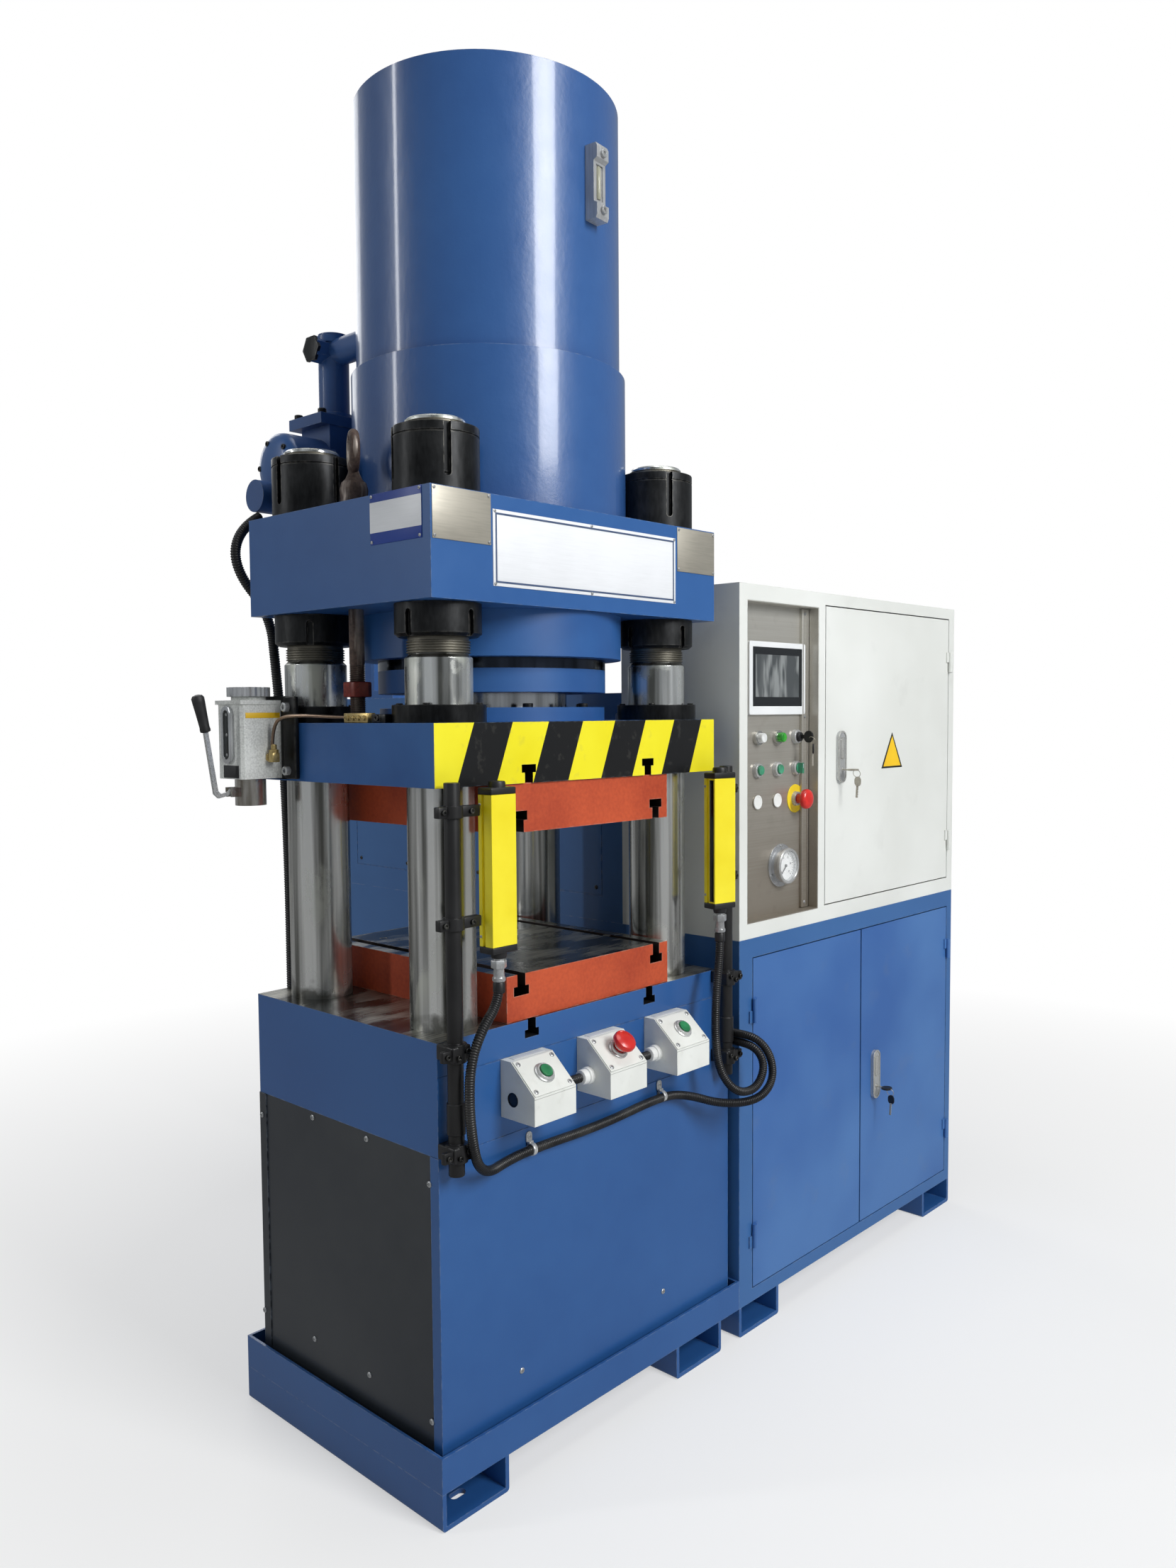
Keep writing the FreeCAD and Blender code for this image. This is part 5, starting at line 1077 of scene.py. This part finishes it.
lines = [[Vector(spot(end + step, LINK_Y, LINK_Z).translation) for step in (0, 22, 44, 66)] for end in link_ends]
fix(together(*[swept(line, 8, RIBS, 3.9) for line in lines]), "box_links", conduit_nylon, smooth=50,
    stands_for=["conduit_fittings"])
white_plastic = lacquer("white_plastic", (220, 221, 218), (238, 239, 236), 0.4)
fix(lathe([(9, 62), (12, 63), (12.6, 66), (12.6, 74), (14.6, 75), (14.6, 84.5)], 40), "box_glands", white_plastic,
    [spot(end, LINK_Y, LINK_Z, "X") for end in link_ends])


# Switch cabinet: white powder coat on folded sheet, with a door on lift-off hinges. The lock is a
# chromed oval plate with a finger lever, its key and a spare on a ring.

FRONT = -275
CHROME = (196, 198, 198)


def powder_coat(name, low, high, trim, lock=None):
    """Powder coat; the lock plate that stands proud of the sheet is bright."""
    material, place = new_finish(name, Coat_Weight=0.12)
    cloud = noise(place, 2.4, 3.0)
    dirt = noise(place, 11.0, 5.0).fade(0.6, 0.78)
    colour = (0.12 * dirt).blend(cloud.tint(low, high, 0.36, 0.64), (140, 140, 134))
    colour = worn_edge(place, colour, trim, 0.35, 0.0025, 60.0, 3.0, 0.5, 0.66)
    rough, metal, grain = 0.36 + 0.12 * cloud, None, noise(place, 480.0, 1.0)
    if lock:
        bright = place.x.between((lock - 15.6) * MM, (lock + 15.6) * MM) * (-place.y).fade(0.2751, 0.2753)
        colour, rough, metal = bright.blend(colour, CHROME), rough - 0.16 * bright, 0.5 * bright
    return wear(material, colour, rough, metal, grain, 0.00005)


def key_ring(x, y, z, radius, rotation):
    """A split ring of spring wire."""
    pick()
    bpy.ops.mesh.primitive_torus_add(major_segments=36, minor_segments=8, major_radius=radius, minor_radius=0.0007,
                                     location=(x * MM, y * MM, z * MM), rotation=rotation)
    return bpy.context.object


WHITES = (222, 224, 219), (234, 236, 232), (150, 150, 146)
dress(powder_coat("cabinet_white", *WHITES), "cabinet_upper")
dress(powder_coat("door_white", *WHITES, 304), "upper_door")
dress(powder_coat("door_blue", (52, 98, 164), (74, 120, 180), (120, 140, 170), 462),
      "lower_door_right", "lower_door_left")
lock_chrome = plain_metal("lock_chrome", (214, 214, 210), 0.24, 0.1, metal=0.5)
key_metal = plain_metal("key_metal", (206, 200, 186), 0.24, metal=0.5)
dress(key_metal, "upper_lock_key", "lower_lock_key")
for name, x, z, key_z, door in (("upper", 304, 1159, 1131, "upper_door"), ("lower", 462, 420, 392, "lower_right_door")):
    key_body = name + "_key"
    for part, piece, proud, rise in (("rim", oval(15.6, 56.6, 2.6, 12.4), 5.2, 0),
                                     ("lever", oval(6.6, 23, 3.6), 3.9, 18)):
        place = spot(x, FRONT - proud, z + rise, UPRIGHT_FRONT)
        fix(piece, f"{name}_lock_{part}", lock_chrome, place, door)
    fix(lathe([(4.6, 0), (4.6, 6), (4.1, 6.6), (0.5, 6.6)], 24), name + "_key_barrel", lock_chrome,
        spot(x, FRONT - 1.5, key_z, "-Y"), key_body)
    bow = put(oval(11.4, 13, 3.4), spot(x, FRONT - 33, key_z - 1.7, turned(90)))
    ring = key_ring(x, FRONT - 42, key_z - 7.5, 0.0085, (0, math.pi / 2 - 0.25, 0))
    spare_turn = Matrix.Rotation(math.pi / 2 - 0.2, 4, "Z") @ turned(90, "X")
    spare_bow = put(oval(8.5, 10.5, 2.4), spot(x + 1, FRONT - 43, key_z - 25, spare_turn))
    spare_blade = block((-1.0, -2.6, -27), (1.0, 2.6, 0), 0.4, 1)
    carve(spare_blade, *[block((-2, -3.2, foot), (2, -1.4, foot + 2.4), 0) for foot in (-24, -18.5, -13)])
    put(spare_blade, spot(x + 1, FRONT - 43, key_z - 33, Matrix.Rotation(0.1, 4, "Y")))
    if name == "upper":
        fix(together(bow, ring, spare_bow, spare_blade), "upper_key_set", key_metal, body=key_body)
    else:
        fix(together(bow, spare_bow), "lower_key_bows", black_plastic, body=key_body)
        fix(together(ring, spare_blade), "lower_key_ring", key_metal, body=key_body)
for name, radius, stretch, foot, thick, finish in (
        ("border", 0.056, 0.082 / 0.084, 0.0, 0.5, lacquer("sign_black", (20, 20, 20), (32, 32, 30), 0.4)),
        ("field", 0.0465, 1, 0.0005, 0.3, lacquer("sign_yellow", (240, 190, 20), (250, 206, 40), 0.4))):
    pick()
    bpy.ops.mesh.primitive_circle_add(vertices=3, radius=radius, fill_type="NGON", location=(0, 0, foot))
    sign = bpy.context.object
    sign.scale = (1, stretch, 1)
    settle()
    edit()
    pull(thick)
    mode("OBJECT")
    fix(sign, f"warning_{name}", finish, spot(534.5, FRONT, 1153.5, UPRIGHT_FRONT), "upper_door", 0)


# Operator panel: a brushed stainless tray behind the opening with a folded lip at its right, the
# touch panel in a white frame, lamps, key switch, buttons, selector and stop button.

PLATE = FRONT + 29
COLUMNS, ROWS = (30, 101, 171), (1205, 1139, 1074)


def on_panel(column, row):
    """A place in the panel's grid of devices, looking out of it."""
    return spot(COLUMNS[column], PLATE, ROWS[row], "-Y")


def stainless_finish():
    material, place = new_finish("panel_stainless")
    brush = noise(place, 420.0, 2.0, (0.012, 1, 1))
    stain = noise(place, 30.0, 4.0).fade(0.56, 0.72)
    # Painted reflection: the tone grows lighter towards the top of the panel.
    tone = 0.25 * brush + 0.3 * noise(place, 3.0, 3.0) + 0.5 * place.z.fade(0.84, 1.46)
    colour = (0.1 * stain).blend(tone.tint((164, 156, 144), (206, 204, 196), 0.3, 0.8), (120, 112, 100))
    return wear(material, colour, 0.3 + 0.12 * brush + 0.08 * stain, 0.62, brush, 0.00002)


def touch_finish():
    """White frame round a dark screen under a creased grey film."""
    material, place = new_finish("touch_screen")
    inside = (place.x.between(0.007, 0.187) * place.z.between(1.269, 1.389) * (-place.y).fade(0.2455, 0.2457)
              * place.y.fade(-0.2525, -0.2521))
    film = place.x.between(0.018, 0.176) * place.z.between(1.288, 1.374)
    fold = noise(place, 16.0, 4.0, (1, 1, 0.35))
    crease = noise(place, 34.0, 2.0, (1, 1, 0.25)).fade(0.5, 0.6)
    glass = film.blend((28, 31, 34), (0.6 * fold + 0.4 * crease).tint((74, 78, 80), (138, 142, 142)))
    colour = inside.blend(noise(place, 8.0).tint((228, 231, 232), (240, 242, 243)), glass)
    rough = 0.34 - 0.2 * inside + 0.12 * film * fold
    return wear(material, colour, rough, 0.0, inside * film * (fold + crease), 0.0006, 0.001)


def lamps_finish():
    """Plated collar; lenses white at the left and green beside it."""
    material, place = new_finish("lamp_lens", Coat_Weight=0.3)
    lens = (-place.y).fade(0.2545, 0.2547)
    ribs = noise(place, 500.0, 1.0, (0.1, 0.1, 1)).fade(0.4, 0.6)
    pale, leaf = ribs.blend((206, 208, 206), (244, 246, 244)), ribs.blend((28, 126, 34), (84, 204, 70))
    colour = lens.blend((206, 206, 202), place.x.fade(0.06, 0.062).blend(pale, leaf))
    return wear(material, colour, 0.22 + 0.1 * lens, 0.9 - 0.9 * lens, ribs * lens, 0.0002)


stainless = stainless_finish()
dress(stainless, "operator_panel")
dress(touch_finish(), "touch_panel")
dress(lamps_finish(), "pilot_lamps")
lip = block((188, PLATE - 7, 839), (213, PLATE + 0.5, 1474), 1.2)
fix(carve(lip, block((193, PLATE - 9, 842), (208, PLATE - 5.2, 1471), 0)), "panel_lip", stainless)
fix(pan_head(3.4, 2), "panel_lip_screws", zinc, grid(200, PLATE - 5.2, (1464, 1247, 850), "-Y"))
lamps = ("white", (240, 242, 240), (214, 216, 214)), ("green", (70, 190, 60), (30, 130, 34))
for number, (name, tone, deep) in enumerate(lamps):
    fix(lathe([(9.9, 15.5), (9.9, 18.4), (8.8, 20), (5, 20.8), (0.5, 21)], 36), f"lamp_{name}_lens",
        lens_finish(f"lamp_{name}", tone, deep), on_panel(number, 0))
device_ring = [(10.2, -0.5), (15.4, -0.5), (15.4, 2), (14.8, 3), (14.6, 8.2), (13.6, 9.4), (12, 9.8), (10.2, 9.6)]
fix(lathe(device_ring, 44, hollow=True), "device_rings", bezel_chrome,
    [on_panel(column, row) for column, row in ((2, 0), (0, 1), (1, 1), (2, 1), (2, 2))])
panel_green = lens_finish("panel_green", (74, 160, 124), (52, 132, 98))
dress(panel_green, "panel_button_left", "panel_button_right", "selector_knob")
for number, side in enumerate(("left", "right")):
    face = lathe([(9.6, 11.4), (9.6, 13), (8.8, 13.8), (7.6, 13.2), (0.5, 12.9)], 36)
    fix(face, f"panel_{side}_button_face", panel_green, on_panel(number, 1), f"{side}_panel_button")
fix(block((-0.9, 0, 21.2), (0.9, 9, 21.9), 0.2), "selector_mark", plate_white,
    spot(COLUMNS[2], PLATE, ROWS[1], UPRIGHT_FRONT), "selector")
fix(lathe([(15.4, -0.2), (29.5, -0.2), (30, 0.4), (30, 1.2), (29.4, 1.7), (15.4, 1.7)], 64, hollow=True), "stop_disc",
    lacquer("disc_yellow", (238, 206, 30), (248, 220, 50), 0.4), on_panel(2, 2))
fix(lathe([(19.9, 24.6), (20.8, 26), (20.8, 31), (19, 34.6), (15, 36.8), (9, 38), (0.5, 38.4)], 56), "panel_stop_face",
    stop_red, on_panel(2, 2), "panel_stop")
fix(lathe([(14, 2.6), (14.6, 3), (14.6, 4), (13.6, 4.8), (11, 4.8), (10.4, 4.2), (0.5, 4.2)], 40), "blanking_plugs",
    white_plastic, [on_panel(0, 2), on_panel(1, 2)])


# Key switch on the panel: a black key in its barrel, and a spare that hangs on the ring.

KEY_X, KEY_Z = COLUMNS[2], ROWS[0]
dress(black_plastic, "switch_key")
key_face = put(lathe([(9.6, 12.6), (9.6, 15), (8.6, 15.8), (4, 15.8)], 36), on_panel(2, 0))
key_bow = put(oval(10.4, 12.4, 3.8), spot(KEY_X - 1.9, PLATE - 34, KEY_Z, turned(90, "Y") @ turned(90)))
fix(together(key_face, key_bow), "switch_key_bow", black_plastic, body="panel_key")
switch_ring = key_ring(KEY_X, PLATE - 43, KEY_Z - 8, 0.009, (0.2, math.pi / 2 - 0.5, 0))
hanging_blade = put(block((-2.6, -1.0, -28), (2.6, 1.0, 0), 0.4, 1), spot(KEY_X, PLATE - 43.5, KEY_Z - 33))
fix(together(switch_ring, hanging_blade), "switch_spare_key", key_metal, body="panel_key")
fix(oval(8.5, 10.5, 2.6), "switch_spare_bow", black_plastic,
    spot(KEY_X, PLATE - 43.5, KEY_Z - 25, Matrix.Rotation(0.5, 4, "Z") @ turned(90, "X")), "panel_key")


# Pressure gauge: chromed case and flange, a white dial with ticks and plain numbers from 0 to 25,
# and glass.

GAUGE_X, GAUGE_Z = 115, 937
DIAL_START, DIAL_SWEEP, DIAL_END = 225, 270, 25


def gauge_finish():
    material, place = new_finish("gauge_case")
    x, z = place.x - GAUGE_X * MM, place.z - GAUGE_Z * MM
    square = x * x + z * z
    dial = (1 - square.math("SQRT", square).fade(0.0306, 0.0308)) * place.y.between(-0.2603, -0.2597, 0.0003)
    cloud = noise(place, 30.0, 3.0)
    colour = dial.blend(cloud.tint((176, 178, 180), (224, 226, 228)), (244, 245, 244))
    return wear(material, colour, 0.14 + 0.3 * dial + 0.08 * cloud, 0.75 - 0.75 * dial, None, 0.0, 0.0008)


dress(gauge_finish(), "pressure_gauge")
gauge_spot = spot(GAUGE_X, PLATE, GAUGE_Z, "-Y")
gauge_ring = [(30.8, 20.5), (30.8, 23.4), (32, 24.6), (35.6, 24.6), (37.2, 23), (37.4, 19), (35.6, 17.4), (33, 18)]
fix(lathe(gauge_ring, 72, hollow=True), "gauge_ring", bezel_chrome, gauge_spot)
marks = []
for number in range(DIAL_END + 1):
    long, half = (3.0, 0.35) if number % 5 else (5.2, 0.55)
    turn = turned(DIAL_START - DIAL_SWEEP * number / DIAL_END)
    tick = block((28.6 - long, -half, 14), (28.6, half, 14.3), 0)
    marks.append(put(tick, spot(GAUGE_X, PLATE, GAUGE_Z, UPRIGHT_FRONT @ turn)))
for number in range(0, DIAL_END + 1, 5):
    turn = math.radians(DIAL_START - DIAL_SWEEP * number / DIAL_END)
    pick()
    bpy.ops.object.text_add(location=(0, 0, 0))
    digits = bpy.context.object
    digits.data.body = str(number)
    digits.data.size = 0.0062
    digits.data.align_x = digits.data.align_y = "CENTER"
    digits.data.extrude = 0.00012
    pick(digits)
    bpy.ops.object.convert(target="MESH")
    dial_spot = spot(GAUGE_X, PLATE - 14.15, GAUGE_Z, UPRIGHT_FRONT)
    marks.append(put(bpy.context.object, dial_spot @ spot(18.5 * math.cos(turn), 18.5 * math.sin(turn), 0)))
dial_black = lacquer("dial_black", (16, 16, 18), (28, 28, 30), 0.5)
fix(together(*marks), "gauge_marks", dial_black, smooth=0)
dress(dial_black, "gauge_pointer")
pane_material, pane_place = new_finish("gauge_glass", Alpha=0.14)
glass = wear(pane_material, noise(pane_place, 20.0).blend((255, 255, 255), (243, 248, 250)), 0.03, 0.0)
pane = lathe([(30.6, 21.4), (30.6, 22.2), (29, 22.9), (20, 23.3), (0.5, 23.5)], 64)
fix(pane, "gauge_glass", glass, gauge_spot, smooth=60)
screw_turns = [math.radians(angle) for angle in (90, 210, 330)]
fix(pan_head(2.6, 1.8), "gauge_screws", zinc,
    [gauge_spot @ spot(40.5 * math.cos(a), 40.5 * math.sin(a), 3) for a in screw_turns])


# Behind the press and in the cabinets: cast valve blocks with bolts, the hatches' screws, the
# motor, the pump set and the switchgear.

VALVE_Y, VALVE_Z, RISER_Z = 288, 1716, 1817
MOTOR_X, MOTOR_Y = 20, 900


def switchgear_finish():
    """Zinc mounting plate, slotted ducts, and rows of modules that carry a dark toggle each."""
    material, place = new_finish("switchgear")
    raised = (-place.y).fade(-0.022, -0.021)
    duct, toggles = [sum(place.z.between(*band) for band in bands) for bands in (
        ((0.88, 0.905), (1.08, 1.105), (1.28, 1.305), (1.43, 1.455)), ((0.963, 0.977), (1.168, 1.186), (1.352, 1.368)))]
    module, slat = [place.x.math("FRACT", place.x * (1 / width)) for width in (0.018, 0.009)]
    marks = toggles * module.between(0.3, 0.7, 0.02) + module.between(0.0, 0.07, 0.02)
    gear = duct.blend((0.8 * marks).blend((214, 214, 208), (52, 54, 58)),
                      (0.6 * slat.between(0.0, 0.4, 0.02)).blend((176, 178, 178), (70, 72, 74)))
    dust = noise(place, 30.0, 4.0)
    return wear(material, raised.blend((190, 190, 184), gear), 0.4 + 0.2 * dust, 0.7 - 0.7 * raised, dust, 0.0001)


def hex_bolt():
    """Hexagon head with a washer face."""
    washer = lathe([(10.35, -0.5), (10.35, 1.2), (8.82, 1.3)], 28)
    return together(washer, lathe([(9, 0.8), (9, 6.2), (7.74, 7)], 6))


dress(enamel("valve_blue", (34, 72, 128), (54, 98, 158), gloss=0.42, rough_peel=3.0), "rear_valves")
dress(enamel("motor_blue", (40, 86, 150), (60, 108, 170), gloss=0.45, rough_peel=2.0), "tank_motor")
dress(lacquer("pump_grey", (96, 102, 108), (124, 130, 136), 0.5, 120.0, 0.0002), "pump_unit")
dress(switchgear_finish(), "switchgear_plate")
fix(cap_screw(8, 9), "valve_plate_screws", nut_black, grid((-659, -571), (250, 326), RISER_Z))
fix(hex_bolt(), "valve_bracket_bolts", zinc, grid((-648, -552), 250, (1475, 1535), "Y"), smooth=30)
fix(cap_screw(5, 6), "valve_drum_screws", nut_black,
    [spot(-738, VALVE_Y + 44 * math.sin(a), VALVE_Z + 44 * math.cos(a), "-X") for a in (0.4, 1.6, 2.9, 4.1, 5.4)])
fix(lathe([(60, -1), (58, -8), (50, -15), (36, -20), (18, -22.6), (0.5, -23.2)], 64), "valve_dome", press_blue,
    spot(-724, VALVE_Y, VALVE_Z, "X"), smooth=60)
fix(lathe([(29.5, -1), (33, 0), (33, 12), (29.5, 13)], 48, hollow=True), "riser_collars", press_blue,
    grid(-604, VALVE_Y, (RISER_Z, 1960)))
fix(lathe([(25.5, -4), (25.5, 2), (18, 4)], 6), "riser_plug", nut_black,
    spot(-654, VALVE_Y, 1944, "-X"), smooth=30)
fix(pan_head(4.6, 2.4), "hatch_screws", nut_black,
    grid(-70, (106, 298, 491, 568, 760, 953), (878, 1232), "-X"))
fix(hex_bolt(), "motor_bolts", zinc,
    grid((MOTOR_X - 76, MOTOR_X + 76), (MOTOR_Y - 76, MOTOR_Y + 76), 1320), smooth=30)
fix(lathe([(92.4, 1422), (93.2, 1424), (93.2, 1476), (90, 1482), (60, 1484.5), (0.5, 1484.8)], 64), "motor_cowl_skin",
    press_blue, spot(MOTOR_X, MOTOR_Y, 0), smooth=40)
